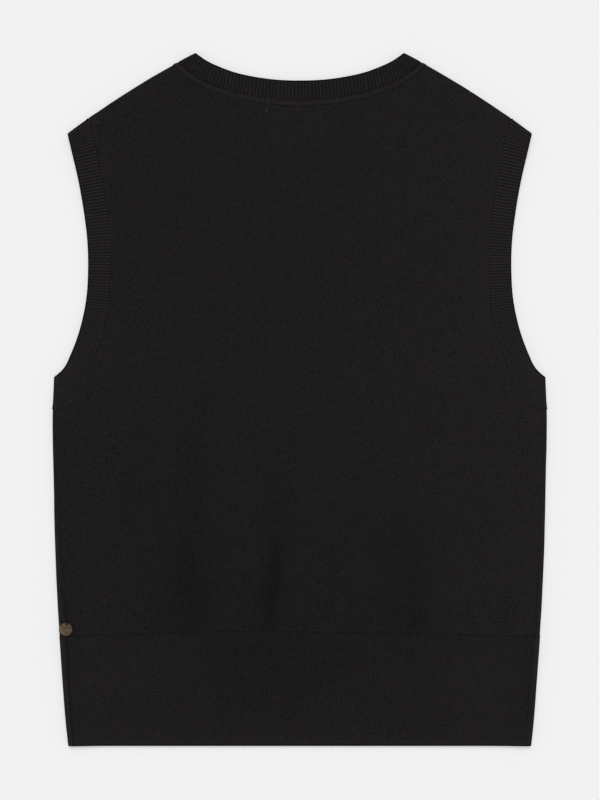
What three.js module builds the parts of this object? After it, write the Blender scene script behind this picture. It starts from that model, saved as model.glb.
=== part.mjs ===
// A knitted sweater vest laid flat with its back up and its front underneath.
// Units are millimetres. X runs across the vest, Y from hem to neck, and Z up from the
// surface that the front rests on. The origin is under the middle of the vest.
import * as THREE from 'three';

// Cloth
const JERSEY_WALL = 1.6;
const RIB_WALL = 1.8;
const RIB_RELIEF = 0.55;
const RIDGE_RELIEF = 0.7;
const SEAM_GAP = 0.3;

// Heights above the surface. Every piece is a wall about one reference surface, which lies
// half a jersey wall above the ground in the front layer and rests on it again in the back.
const OUTER = JERSEY_WALL / 2;
const RIB_INNER = RIB_WALL - OUTER;
const FOLD_RADIUS = 2.2;
const FOLD_LEVEL = OUTER + FOLD_RADIUS;
const REST_LEVEL = 3.2;
const FOLD_REACH = 18;
const FOLD_FADE = 30;

// Length of the vest, from the neck points to the hem
const LENGTH = 616.4;
const HEM_EDGE = -LENGTH / 2;

// Half width of the laid body at each height, out to its folded sides
const SIDE = [
  { at: 19, half: 218.7 },
  { at: -20, half: 220.1 },
  { at: -72, half: 219.1 },
  { at: -125, half: 218.0 },
  { at: -179, half: 215.7 },
  { at: -219, half: 213.2 },
  { at: -259, half: 210.5 },
  { at: -286, half: 208.4 },
  { at: HEM_EDGE, half: 206.0 },
];
const UNDERARM = SIDE[0].at;

// How far inside the folded edge each side seam lies on the back
const SEAM_INSET = [
  { at: 0, left: 3.0, right: 3.0 },
  { at: -90, left: 3.6, right: 3.6 },
  { at: -143, left: 5.0, right: 4.4 },
  { at: -178, left: 7.7, right: 4.9 },
  { at: -245, left: 7.2, right: 7.0 },
  { at: HEM_EDGE, left: 7.0, right: 6.3 },
];

// Height of the line where the hem rib is linked on, at each place across
const HEM_LINE = [
  { at: -207, height: -209.4 },
  { at: -165, height: -209.0 },
  { at: -100, height: -206.3 },
  { at: -30, height: -204.9 },
  { at: 20, height: -206.0 },
  { at: 95, height: -206.6 },
  { at: 165, height: -209.0 },
  { at: 207, height: -209.4 },
];

// Shoulder fold, a shallow arc from the armhole to the neck
const SHOULDER_TIP = { half: 206.5, y: 236.5 };
const NECK_POINT = { half: 93.4, y: 307.9 };
const SHOULDER_BOW = 2.9;

// Armhole: the open edge and the linking line, from the shoulder fold to the side fold
const ARM_EDGE = [
  { half: 203.1, y: 221.8 },
  { half: 197.0, y: 195.1 },
  { half: 192.3, y: 168.4 },
  { half: 189.0, y: 141.7 },
  { half: 188.3, y: 115.0 },
  { half: 190.1, y: 88.3 },
  { half: 195.9, y: 61.6 },
  { half: 204.0, y: 39.5 },
  { half: 210.0, y: 27.5 },
];
const ARM_LINK = [
  { half: 181.0, y: 223.2 },
  { half: 175.3, y: 190.0 },
  { half: 171.0, y: 164.0 },
  { half: 169.2, y: 138.0 },
  { half: 169.0, y: 108.0 },
  { half: 170.6, y: 80.0 },
  { half: 176.8, y: 54.0 },
  { half: 185.0, y: 30.0 },
  { half: 194.5, y: 8.0 },
  { half: 204.0, y: -5.0 },
  { half: 212.0, y: -9.2 },
];
const ARM_LINK_TOP = 187.5;
const ARM_LINK_END = -10;

// Neck: half of each curve, from the middle out towards the shoulder fold
const NECK_EDGE_BACK = [
  { half: 0, y: 283.8 },
  { half: 20, y: 284.5 },
  { half: 40, y: 287.1 },
  { half: 57.5, y: 291.0 },
  { half: 71.2, y: 295.9 },
  { half: 82.0, y: 300.8 },
];
const NECK_LINK_BACK = [
  { half: 0, y: 261.7 },
  { half: 21, y: 262.9 },
  { half: 43, y: 265.9 },
  { half: 64, y: 270.6 },
  { half: 85, y: 278.3 },
  { half: 101, y: 287.4 },
];
const NECK_EDGE_FRONT = [
  { half: 0, y: 222.5 },
  { half: 30, y: 226.5 },
  { half: 58, y: 240.0 },
  { half: 78, y: 264.0 },
  { half: 88, y: 288.0 },
];
const NECK_LINK_FRONT = [
  { half: 0, y: 201.5 },
  { half: 37, y: 206.0 },
  { half: 72, y: 223.5 },
  { half: 97, y: 254.0 },
  { half: 108.5, y: 281.0 },
];
const NECK_LINK_TOP = 114.0;

// Ribs on the back half of each band, one raised line each
const NECK_RIBS = 75;
const ARM_RIBS = 88;
const HEM_RIBS = 232;
const HEM_SIDE_RIBS = 4;

// Rows across a band: place across it, how much of the rib and how much plain relief
const NECK_ROWS = [
  { across: 0, rib: 0.3, plain: 0 },
  { across: 0.08, rib: 1, plain: 0 },
  { across: 0.68, rib: 1, plain: 0 },
  { across: 0.74, rib: 0, plain: 0 },
  { across: 0.87, rib: 0, plain: RIDGE_RELIEF },
  { across: 1, rib: 0, plain: 0.1 },
];
const ARM_ROWS = [
  { across: 0, rib: 0.3, plain: 0 },
  { across: 0.08, rib: 1, plain: 0 },
  { across: 0.86, rib: 1, plain: 0 },
  { across: 1, rib: 0, plain: 0.15 },
];
const HEM_ROWS = [
  { across: 0, rib: 0, plain: 0.1 },
  { across: 0.035, rib: 1, plain: 0 },
  { across: 1, rib: 0.8, plain: 0 },
];
// Soft troughs in the back above the hem rib: a line, its half width and its depth
const TROUGHS = [
  { fromX: -24, fromY: -200, toX: -23, toY: -112, width: 7, depth: 1.1 },
  { fromX: -23, fromY: -112, toX: -8, toY: -45, width: 9, depth: 0.5 },
  { fromX: -97, fromY: -200, toX: -106, toY: -140, width: 16, depth: 0.8 },
  { fromX: 106, fromY: -200, toX: 105, toY: -92, width: 9, depth: 0.9 },
  { fromX: 184, fromY: -198, toX: 183, toY: -150, width: 10, depth: 0.7 },
];

// Fullness of the jersey where it is gathered a little onto the rib
const FULLNESS = 1.1;
const FULLNESS_FROM = -208;
const FULLNESS_TOP = -165;
const FULLNESS_TO = -60;

// The softness of the back: how far below its level a trough may go, the heights between
// which it starts above the hem line, and the distances from a folded side over which it starts
const DEEPEST = 0.35;
const HEM_CALM = [FULLNESS_FROM, -200];
const SIDE_CALM = [4, 30];
const TROUGH_TAPER = { start: [-0.25, 0.05], end: [0.5, 1.15] };

// Spacing of the points in a panel, on its outline and inside
const OUTLINE_STEP = 7;
const SEAM_STEP = 20;
const INSIDE_STEP = 30;
const TROUGH_STEP = 16;
const TROUGH_COLUMNS = [-1.6, -0.7, 0.7, 1.6];
const OUTLINE_CLEAR = 12.5;
const CLOSEST = 1;
const BAND_STEP = 9;
const ROLL_STEPS = 3;

// The small disc that is sewn on at one side seam
const DISC = { x: -207.8, y: -204.1, radius: 6, thickness: 1.2, bevel: 0.25, underside: 6.45 };
const DISC_HOLE = { radius: 0.9, offset: 4.2, turn: -11 };

// Circle on which a shoulder fold lies, through its two ends with the given bow
function circleThrough(tip, neck, bow) {
  const run = new THREE.Vector2(neck.half - tip.half, neck.y - tip.y);
  const halfChord = run.length() / 2;
  const radius = (halfChord ** 2 + bow ** 2) / (2 * bow);
  const outward = new THREE.Vector2(run.y, -run.x).normalize();
  const middle = new THREE.Vector2((tip.half + neck.half) / 2, (tip.y + neck.y) / 2);
  const centre = middle.addScaledVector(outward, bow - radius);
  return { x: centre.x, y: centre.y, radius: radius - OUTER };
}
const SHOULDER = circleThrough(SHOULDER_TIP, NECK_POINT, SHOULDER_BOW);

// A quarter of the fold takes more cloth than it covers in plan
const QUARTER = (FOLD_RADIUS * Math.PI) / 2;
const EXTRA = QUARTER - FOLD_RADIUS;

// Smooth value of one column of a table at a place along its rows
function lookUp(rows, column, at) {
  const list = rows[0].at < rows[rows.length - 1].at ? rows : [...rows].reverse();
  const last = list.length - 1;
  if (at <= list[0].at) return list[0][column];
  if (at >= list[last].at) return list[last][column];
  let k = 0;
  while (at > list[k + 1].at) k += 1;
  const slope = (a, b) => (list[b][column] - list[a][column]) / (list[b].at - list[a].at);
  const span = list[k + 1].at - list[k].at;
  const t = (at - list[k].at) / span;
  const startSlope = slope(Math.max(k - 1, 0), k + 1) * span;
  const endSlope = slope(k, Math.min(k + 2, last)) * span;
  const [from, to] = [list[k][column], list[k + 1][column]];
  const curve = from + (2 * t ** 3 - 3 * t ** 2) * (from - to);
  return curve + (t ** 3 - 2 * t ** 2 + t) * startSlope + (t ** 3 - t ** 2) * endSlope;
}

const evenly = (count) => Array.from({ length: count + 1 }, (_, k) => k / count);
const ease = (from, to, at) => THREE.MathUtils.smoothstep(at, from, to);
const sideFold = (y) => lookUp(SIDE, 'half', Math.min(y, UNDERARM)) - OUTER;
const sideFoldFlat = (y) => sideFold(y) + EXTRA;
const hemLine = (x) => lookUp(HEM_LINE, 'height', x);

// Half width of a side seam on the back, for the left or the right side
function seamHalf(y, hand) {
  const inset = lookUp(SEAM_INSET, hand < 0 ? 'left' : 'right', y);
  return sideFold(y) + OUTER - inset;
}

// Height of the shoulder fold, spread flat, at a half width
function shoulderFlat(half, inset = 0) {
  const radius = SHOULDER.radius + EXTRA - inset;
  return SHOULDER.y + Math.sqrt(radius ** 2 - (half - SHOULDER.x) ** 2);
}

// Depth of all the troughs at a point, each one tapered at its ends
function troughDepth(x, y) {
  let depth = 0;
  for (const row of TROUGHS) {
    const run = new THREE.Vector2(row.toX - row.fromX, row.toY - row.fromY);
    const from = new THREE.Vector2(x - row.fromX, y - row.fromY);
    const along = from.dot(run) / run.lengthSq();
    const off = Math.abs(from.cross(run)) / run.length();
    const ends = ease(...TROUGH_TAPER.start, along) * (1 - ease(...TROUGH_TAPER.end, along));
    depth += row.depth * ends * Math.exp(-((off / row.width) ** 2));
  }
  return depth;
}

// Height of the reference surface on the back
function backHeight(x, y) {
  const half = Math.abs(x);
  const toShoulder = SHOULDER.radius - Math.hypot(half - SHOULDER.x, y - SHOULDER.y);
  const toSide = sideFold(y) - half;
  const lift = (distance) => Math.exp(-((Math.max(distance - FOLD_RADIUS, 0) / FOLD_REACH) ** 2));
  const atSide = lift(toSide) * (1 - ease(UNDERARM, UNDERARM + FOLD_FADE, y));
  const raised = Math.max(lift(toShoulder), atSide);
  const full = ease(FULLNESS_FROM, FULLNESS_TOP, y) * (1 - ease(FULLNESS_TOP, FULLNESS_TO, y));
  const soft = Math.max(FULLNESS * full - troughDepth(x, y), -DEEPEST) * ease(...SIDE_CALM, toSide);
  const crown = FOLD_LEVEL + FOLD_RADIUS;
  return REST_LEVEL + (crown - REST_LEVEL) * raised + soft * ease(...HEM_CALM, y);
}

// Place of a point of the flat cloth on the laid vest. The layer is 1 for the back and -1
// for the front, whose cloth goes on over the side folds onto the back.
function lay(x, y, layer) {
  const hand = x < 0 ? -1 : 1;
  const half = Math.abs(x);
  const away = Math.hypot(half - SHOULDER.x, y - SHOULDER.y);
  const shoulderStart = SHOULDER.radius - FOLD_RADIUS;
  if (away > shoulderStart) {
    const turn = (away - shoulderStart) / FOLD_RADIUS;
    const reach = (shoulderStart + FOLD_RADIUS * Math.sin(turn)) / away;
    const px = SHOULDER.x + (half - SHOULDER.x) * reach;
    const py = SHOULDER.y + (y - SHOULDER.y) * reach;
    return new THREE.Vector3(hand * px, py, FOLD_LEVEL + layer * FOLD_RADIUS * Math.cos(turn));
  }
  const sideStart = sideFold(y) - FOLD_RADIUS;
  const turn = (half - sideStart) / FOLD_RADIUS;
  if (turn > Math.PI && layer < 0) {
    const px = hand * (sideStart - (turn - Math.PI) * FOLD_RADIUS);
    return new THREE.Vector3(px, y, backHeight(px, y));
  }
  if (turn > 0 && y < UNDERARM + 1) {
    const px = hand * (sideStart + FOLD_RADIUS * Math.sin(turn));
    return new THREE.Vector3(px, y, FOLD_LEVEL + layer * FOLD_RADIUS * Math.cos(turn));
  }
  return new THREE.Vector3(x, y, layer > 0 ? backHeight(x, y) : OUTER);
}

// Direction out of the cloth at a point of it
function clothNormal(x, y, layer) {
  const step = 0.05;
  const across = lay(x + step, y, layer).sub(lay(x - step, y, layer));
  const along = lay(x, y + step, layer).sub(lay(x, y - step, layer));
  return across.cross(along).multiplyScalar(layer).normalize();
}

// A point of cloth laid out, then moved off the reference surface by a relief that may
// depend on where it comes to lie
function raised(x, y, layer, relief) {
  const point = lay(x, y, layer);
  return point.addScaledVector(clothNormal(x, y, layer), relief(point));
}

// The same point of cloth seen from the front layer, past the side fold
const overSide = (half, y) => 2 * sideFoldFlat(y) - half;

// A solid from points and triangles
function solid(points, faces) {
  const geometry = new THREE.BufferGeometry();
  const numbers = points.flatMap((point) => [point.x, point.y, point.z]);
  geometry.setAttribute('position', new THREE.Float32BufferAttribute(numbers, 3));
  geometry.setIndex(faces.flat());
  geometry.computeVertexNormals();
  return geometry;
}

// Smooth curve through table rows given as half widths, on the right side
function curveThrough(points) {
  const list = points.map((point) => new THREE.Vector3(point.half, point.y, 0));
  const curve = new THREE.CatmullRomCurve3(list, false, 'centripetal');
  curve.arcLengthDivisions = 800;
  return curve;
}

// The armhole's two curves, spread flat from fold to fold
function armCurve(rows, topHalf, endY) {
  const top = { half: topHalf, y: shoulderFlat(topHalf) };
  const end = { half: sideFoldFlat(endY), y: endY };
  return curveThrough([top, ...rows, end]);
}
const armEdge = armCurve(ARM_EDGE, SHOULDER_TIP.half, UNDERARM);
const armLink = armCurve(ARM_LINK, ARM_LINK_TOP, ARM_LINK_END);

// A neck curve from the left shoulder fold to the right one
function neckCurve(rows, topHalf) {
  const right = [...rows, { half: topHalf, y: shoulderFlat(topHalf) }];
  const left = right.slice(1).reverse().map((row) => ({ half: -row.half, y: row.y }));
  return curveThrough([...left, ...right]);
}
const neckEdge = {
  1: neckCurve(NECK_EDGE_BACK, NECK_POINT.half),
  [-1]: neckCurve(NECK_EDGE_FRONT, NECK_POINT.half),
};
const neckLink = {
  1: neckCurve(NECK_LINK_BACK, NECK_LINK_TOP),
  [-1]: neckCurve(NECK_LINK_FRONT, NECK_LINK_TOP),
};

// Places along a curve from fold to fold, close together where the cloth rolls over
function stations(length, step) {
  const roll = Array.from({ length: ROLL_STEPS }, (_, k) => (QUARTER * k) / ROLL_STEPS);
  const middle = length - 2 * QUARTER;
  const count = Math.max(Math.round(middle / step), 1);
  const between = Array.from({ length: count + 1 }, (_, k) => QUARTER + (middle * k) / count);
  return [...roll, ...between, ...roll.map((at) => length - at).reverse()].map((at) => at / length);
}

// Triangles between two lines of points that run the same way, with any number of points
function stitch(points, lineA, lineB) {
  const lengths = (line) => {
    const sums = [0];
    for (let k = 1; k < line.length; k++) {
      sums.push(sums[k - 1] + points[line[k]].distanceTo(points[line[k - 1]]));
    }
    return sums.map((sum) => sum / sums[sums.length - 1]);
  };
  const [a, b] = [lengths(lineA), lengths(lineB)];
  const faces = [];
  let i = 0;
  let j = 0;
  while (i < lineA.length - 1 || j < lineB.length - 1) {
    const stepA = j === lineB.length - 1 || (i < lineA.length - 1 && a[i + 1] <= b[j + 1]);
    if (stepA) {
      faces.push([lineA[i], lineA[i + 1], lineB[j]]);
      i += 1;
    } else {
      faces.push([lineA[i], lineB[j + 1], lineB[j]]);
      j += 1;
    }
  }
  return faces;
}

// A wall between a fine outer grid and a plain inner one, closed along all its edges
function wall(outer, inner, closed) {
  const points = [];
  const number = (grid) => grid.map((row) => {
    const ids = row.map((point) => points.push(point) - 1);
    return closed ? [...ids, ids[0]] : ids;
  });
  const [out, inn] = [number(outer), number(inner)];
  const faces = [];
  const skin = (ids, flip) => {
    for (let r = 0; r < ids.length - 1; r++) {
      for (const face of stitch(points, ids[r], ids[r + 1])) faces.push(flip ? [...face].reverse() : face);
    }
  };
  skin(out, false);
  skin(inn, true);
  const lastRow = (ids) => ids[ids.length - 1];
  const column = (ids, c) => ids.map((row) => row[c < 0 ? row.length - 1 : c]);
  const rim = (a, b) => faces.push(...stitch(points, a, b));
  rim(inn[0], out[0]);
  rim(lastRow(out), lastRow(inn));
  if (!closed) {
    rim(column(out, 0), column(inn, 0));
    rim(column(inn, -1), column(out, -1));
  }
  return solid(points, faces.map((face) => [...face].reverse()));
}

// A band that runs round an opening: over the back, round a fold and back underneath
function bandRing(edge, link, ribs, table) {
  const place = (u, across, layer, relief) => {
    const flat = edge[layer].getPointAt(u).lerp(link[layer].getPointAt(u), across);
    return raised(flat.x, flat.y, layer, () => relief);
  };
  const coarse = (layer) => stations(link[layer].getLength(), BAND_STEP);
  const underneath = coarse(-1).reverse().slice(1, -1);
  const fine = evenly(2 * ribs);
  const outer = table.map(({ across, rib, plain }) => [
    ...fine.map((u, c) => {
      const relief = (c % 2) * rib * RIB_RELIEF + (u > 0 && u < 1 ? plain : 0);
      return place(u, across, 1, OUTER + relief);
    }),
    ...underneath.map((u) => place(u, across, -1, OUTER)),
  ]);
  const inner = [0, 1].map((across) => [
    ...coarse(1).map((u) => place(u, across, 1, -RIB_INNER)),
    ...underneath.map((u) => place(u, across, -1, -RIB_INNER)),
  ]);
  return wall(outer, inner, true);
}

// The hem rib of one layer, from the linking line down to the open edge. The front one goes
// on over both side folds to the side seams on the back.
function hemRib(layer) {
  const seamAt = (y, hand) => seamHalf(y, hand) - (layer * SEAM_GAP) / 2;
  const flatHalf = (y, hand) => (layer > 0 ? seamAt(y, hand) : overSide(seamAt(y, hand), y));
  const place = (t, across, relief) => {
    const topY = hemLine((2 * t - 1) * SIDE[0].half) - SEAM_GAP / 2;
    const y = THREE.MathUtils.lerp(topY, HEM_EDGE, across);
    const x = THREE.MathUtils.lerp(-flatHalf(y, -1), flatHalf(y, 1), t);
    return raised(x, y, layer, relief);
  };
  const joinY = HEM_LINE[0].height;
  const whole = flatHalf(joinY, -1) + flatHalf(joinY, 1);
  const wrap = (whole / 2 - (sideFold(joinY) - FOLD_RADIUS)) / whole;
  const round = evenly(2 * HEM_SIDE_RIBS + 2 * ROLL_STEPS).map((t) => t * wrap);
  const under = evenly(Math.round(whole / INSIDE_STEP)).slice(1, -1).map((t) => wrap + t * (1 - 2 * wrap));
  const wrapped = [...round, ...under, ...[...round].reverse().map((t) => 1 - t)];
  const fine = layer > 0 ? evenly(2 * HEM_RIBS) : [...wrapped].reverse();
  const coarse = layer > 0 ? evenly(Math.round(whole / INSIDE_STEP)) : fine;
  const onBack = (point) => ease(FOLD_LEVEL, FOLD_LEVEL + FOLD_RADIUS / 2, point.z);
  const outer = HEM_ROWS.map(({ across, rib, plain }) => fine.map((t, c) => {
    const relief = (c % 2) * rib * RIB_RELIEF + plain;
    return place(t, across, (point) => OUTER + relief * onBack(point));
  }));
  const inner = [0, 1].map((across) => coarse.map((t) => place(t, across, () => -RIB_INNER)));
  return wall(outer, inner, false);
}

// Deterministic nudge that keeps four points from lying on one circle
const nudge = (seed) => 2e-3 * Math.sin(seed * 12.9898);

// Triangles that join a set of points, each with no other point inside its circle
function delaunay(list) {
  const count = list.length;
  const far = 9000;
  const points = list.map(([x, y], k) => [x + nudge(k + 1), y + nudge(k + 1.37)]);
  points.push([-far, -far], [far, -far], [0, far]);
  const holds = ([a, b, c], [px, py]) => {
    const [ax, ay] = [points[a][0] - px, points[a][1] - py];
    const [bx, by] = [points[b][0] - px, points[b][1] - py];
    const [cx, cy] = [points[c][0] - px, points[c][1] - py];
    const [a2, b2, c2] = [ax * ax + ay * ay, bx * bx + by * by, cx * cx + cy * cy];
    return ax * (by * c2 - b2 * cy) - ay * (bx * c2 - b2 * cx) + a2 * (bx * cy - by * cx) > 0;
  };
  let faces = [[count, count + 1, count + 2]];
  for (let k = 0; k < count; k++) {
    const rim = new Map();
    const kept = [];
    for (const face of faces) {
      if (!holds(face, points[k])) {
        kept.push(face);
        continue;
      }
      for (let e = 0; e < 3; e++) {
        const [a, b] = [face[e], face[(e + 1) % 3]];
        if (!rim.delete(`${b} ${a}`)) rim.set(`${a} ${b}`, [a, b]);
      }
    }
    faces = kept.concat([...rim.values()].map(([a, b]) => [a, b, k]));
  }
  return faces.filter((face) => face.every((id) => id < count));
}

// Whether a point lies inside a closed outline
function within(outline, [x, y]) {
  let inside = false;
  outline.forEach(([ax, ay], k) => {
    const [bx, by] = outline[(k + 1) % outline.length];
    if ((ay > y) !== (by > y) && x < ax + ((bx - ax) * (y - ay)) / (by - ay)) inside = !inside;
  });
  return inside;
}

// Distance from a point to the nearest point of a list
const nearest = (list, [x, y]) => Math.min(...list.map(([a, b]) => Math.hypot(a - x, b - y)));

// Side to side scale that makes the folded sides straight, so rows of points stay in rows
const straighten = ([x, y]) => [(x * SIDE[0].half) / sideFold(y), y];

// A panel's wall from its flat outline and the points inside it
function panelWall(outline, inside, layer) {
  const flat = [...outline, ...inside];
  const straight = flat.map(straighten);
  const edge = straight.slice(0, outline.length);
  const middle = (face) => [0, 1].map((axis) => face.reduce((sum, id) => sum + straight[id][axis], 0) / 3);
  const kept = delaunay(straight).filter((face) => within(edge, middle(face)));
  const faces = layer > 0 ? kept : kept.map((face) => [...face].reverse());
  const outer = flat.map(([x, y]) => raised(x, y, layer, () => OUTER));
  const inner = flat.map(([x, y]) => raised(x, y, layer, () => OUTER - JERSEY_WALL));
  const sheet = flat.length;
  const all = [...faces, ...faces.map(([a, b, c]) => [c + sheet, b + sheet, a + sheet])];
  const edges = new Set(faces.flatMap(([a, b, c]) => [`${a} ${b}`, `${b} ${c}`, `${c} ${a}`]));
  for (const name of edges) {
    const [a, b] = name.split(' ').map(Number);
    if (!edges.has(`${b} ${a}`)) all.push([b, a, a + sheet], [b, a + sheet, b + sheet]);
  }
  return solid([...outer, ...inner], all);
}

// Points of a curve moved off it by a distance, to the left of its direction if positive
function offsetPoints(curve, distance, step) {
  return stations(curve.getLength(), step).map((u) => {
    const point = curve.getPointAt(u);
    const run = curve.getTangentAt(u);
    return [point.x - run.y * distance, point.y + run.x * distance];
  });
}

// Side seam of the right or left side, as half widths from the hem line up to the armhole
function sideSeam(layer, hand, topY) {
  const bottom = HEM_LINE[0].height + SEAM_GAP / 2;
  const count = Math.round((topY - bottom) / SEAM_STEP);
  return Array.from({ length: count + 1 }, (_, k) => {
    const y = THREE.MathUtils.lerp(bottom, topY, k / count);
    const half = seamHalf(y, hand) - (layer * SEAM_GAP) / 2;
    return [layer > 0 ? half : overSide(half, y), y];
  });
}

// Half widths of the front cloth where it rolls over a side fold, at one height
const sideRoll = (y) => evenly(2 * ROLL_STEPS).map((t) => [sideFold(y) - FOLD_RADIUS + 2 * QUARTER * t, y]);

// Armhole line of a panel on one side, from the side seam up to the shoulder
function armholeLine(layer, hand) {
  const line = offsetPoints(armLink, -SEAM_GAP, OUTLINE_STEP).slice(1).reverse();
  const topY = ARM_LINK_END - SEAM_GAP;
  const limit = layer > 0 ? seamHalf(topY, hand) : sideFold(topY) - FOLD_RADIUS;
  const roll = layer > 0 ? [] : sideRoll(topY).reverse();
  return [...roll, ...line.filter(([half]) => half < limit - OUTLINE_STEP / 2)];
}

// Shoulder seam of a panel, along the fold from the armhole to the neck
function shoulderLine(inset) {
  const from = ARM_LINK_TOP - SEAM_GAP;
  const to = NECK_LINK_TOP + SEAM_GAP;
  const count = Math.round((from - to) / (2 * OUTLINE_STEP));
  return Array.from({ length: count + 1 }, (_, k) => {
    const half = THREE.MathUtils.lerp(from, to, k / count);
    return [half, shoulderFlat(half, inset)];
  });
}

// A row of points along the shoulder seam, spread towards its centre by a distance
const shoulderRow = (inset) => shoulderLine(SEAM_GAP / 2).slice(1, -1).map(([half, y]) => {
  const away = Math.hypot(half - SHOULDER.x, y - SHOULDER.y);
  const reach = (away - inset) / away;
  return [SHOULDER.x + (half - SHOULDER.x) * reach, SHOULDER.y + (y - SHOULDER.y) * reach];
});

// Flat outline of a panel, anticlockwise from the left end of the hem line
function panelOutline(layer) {
  const half = (hand) => {
    const seam = sideSeam(layer, hand, ARM_LINK_END - SEAM_GAP);
    return [...seam, ...armholeLine(layer, hand), ...shoulderLine(SEAM_GAP / 2)];
  };
  const neck = offsetPoints(neckLink[layer], -SEAM_GAP, OUTLINE_STEP).slice(1, -1);
  const right = half(1);
  const left = half(-1).map(([x, y]) => [-x, y]).reverse();
  const hemCount = Math.round((2 * SIDE[0].half) / SEAM_STEP);
  const hem = Array.from({ length: hemCount + 1 }, (_, k) => {
    const x = THREE.MathUtils.lerp(left[left.length - 1][0], right[0][0], k / hemCount);
    return [x, hemLine(x) + SEAM_GAP / 2];
  }).slice(1, -1);
  if (layer > 0) return [...hem, ...right, ...neck.reverse(), ...left];
  const roll = sideRoll(HEM_LINE[0].height + SEAM_GAP / 2);
  const flatHem = hem.filter(([x]) => Math.abs(x) < roll[0][0] - OUTLINE_STEP);
  const leftRoll = roll.map(([x, y]) => [-x, y]).reverse();
  return [...leftRoll, ...flatHem, ...roll, ...right, ...neck.reverse(), ...left];
}

// Points inside a panel: round its folds, along its troughs, then an even spread
function panelInside(outline, layer) {
  const points = [];
  for (let k = 1; k <= ROLL_STEPS; k++) {
    const row = shoulderRow((QUARTER * k) / ROLL_STEPS);
    points.push(...row, ...row.map(([x, y]) => [-x, y]));
  }
  if (layer < 0) {
    for (const hand of [-1, 1]) {
      for (const [, y] of sideSeam(-1, hand, ARM_LINK_END - SEAM_GAP).slice(1, -1)) {
        points.push(...sideRoll(y).map(([x]) => [hand * x, y]));
      }
    }
  } else {
    for (const row of TROUGHS) {
      const count = Math.round(Math.hypot(row.toX - row.fromX, row.toY - row.fromY) / TROUGH_STEP);
      for (let k = 0; k <= count; k++) {
        const x = THREE.MathUtils.lerp(row.fromX, row.toX, k / count);
        const y = THREE.MathUtils.lerp(row.fromY, row.toY, k / count);
        points.push(...TROUGH_COLUMNS.map((column) => [x + column * row.width, y]));
      }
    }
  }
  const clear = (list, point, distance) => nearest(list, point) > distance;
  const chosen = [];
  for (const point of points) {
    if (within(outline, point) && clear(chosen, point, CLOSEST)) chosen.push(point);
  }
  const spread = [];
  const rowStep = INSIDE_STEP * Math.sin(Math.PI / 3);
  for (let y = HEM_EDGE, odd = 0; y < -HEM_EDGE; y += rowStep, odd = 1 - odd) {
    for (let x = -SIDE[0].half; x < SIDE[0].half; x += INSIDE_STEP) {
      const point = [x + (odd * INSIDE_STEP) / 2, y];
      const free = clear(chosen, point, INSIDE_STEP / 2) && clear(outline, point, OUTLINE_CLEAR);
      if (free && within(outline, point)) spread.push(point);
    }
  }
  return [...chosen, ...spread];
}

function panel(layer) {
  const outline = panelOutline(layer);
  return panelWall(outline, panelInside(outline, layer), layer);
}

// The left copy of a right-hand piece
function mirrored(geometry) {
  const copy = geometry.clone();
  copy.applyMatrix4(new THREE.Matrix4().makeScale(-1, 1, 1));
  const ids = [...copy.index.array];
  const faces = [];
  for (let k = 0; k < ids.length; k += 3) faces.push([ids[k], ids[k + 2], ids[k + 1]]);
  copy.setIndex(faces.flat());
  copy.computeVertexNormals();
  return copy;
}

// The disc, with rounded rims and its hole near the rim where the thread holds it
function disc() {
  const { radius, thickness, bevel } = DISC;
  const shape = new THREE.Shape();
  shape.absarc(0, 0, radius - bevel, 0, 2 * Math.PI, false);
  const hole = new THREE.Path();
  hole.absarc(0, DISC_HOLE.offset, DISC_HOLE.radius + bevel, 0, 2 * Math.PI, true);
  shape.holes.push(hole);
  const geometry = new THREE.ExtrudeGeometry(shape, {
    depth: thickness - 2 * bevel,
    bevelEnabled: true,
    bevelThickness: bevel,
    bevelSize: bevel,
    bevelSegments: 1,
    curveSegments: 16,
  });
  geometry.translate(0, 0, bevel);
  geometry.rotateZ(THREE.MathUtils.degToRad(DISC_HOLE.turn));
  return geometry;
}

const vest = new THREE.Group();

// Adds a named piece with its own material
function addPiece(name, geometry, { color, roughness, metalness = 0 }) {
  const mesh = new THREE.Mesh(geometry, new THREE.MeshStandardMaterial({ color, roughness, metalness }));
  mesh.name = name;
  vest.add(mesh);
  return mesh;
}

const JERSEY = { color: 0x1e1c1b, roughness: 0.9 };
const RIB = { color: 0x1f1c1c, roughness: 0.9 };
const BRASS = { color: 0x584c3c, roughness: 0.4, metalness: 1 };

addPiece('front_panel', panel(-1), JERSEY);
addPiece('back_panel', panel(1), JERSEY);
addPiece('hem_rib_front', hemRib(-1), RIB);
addPiece('hem_rib_back', hemRib(1), RIB);
addPiece('neckband', bandRing(neckEdge, neckLink, NECK_RIBS, NECK_ROWS), RIB);
const armband = bandRing({ 1: armEdge, [-1]: armEdge }, { 1: armLink, [-1]: armLink }, ARM_RIBS, ARM_ROWS);
addPiece('armband_right', armband, RIB);
addPiece('armband_left', mirrored(armband), RIB);
const charm = addPiece('charm', disc(), BRASS);
charm.position.set(DISC.x, DISC.y, DISC.underside);

export default vest;
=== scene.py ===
"""Looks of a knitted sweater vest that is laid flat with its back up.

Cloth is worked out in millimetres as in the maker's flat pattern, laid over the folds, and
turned to metres when a mesh is made. The frame's boxes give the vest's length, its hem and
the place of the small disc.
"""

import math

import bmesh
import bpy
import numpy as np
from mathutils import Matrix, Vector, geometry, kdtree


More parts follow.
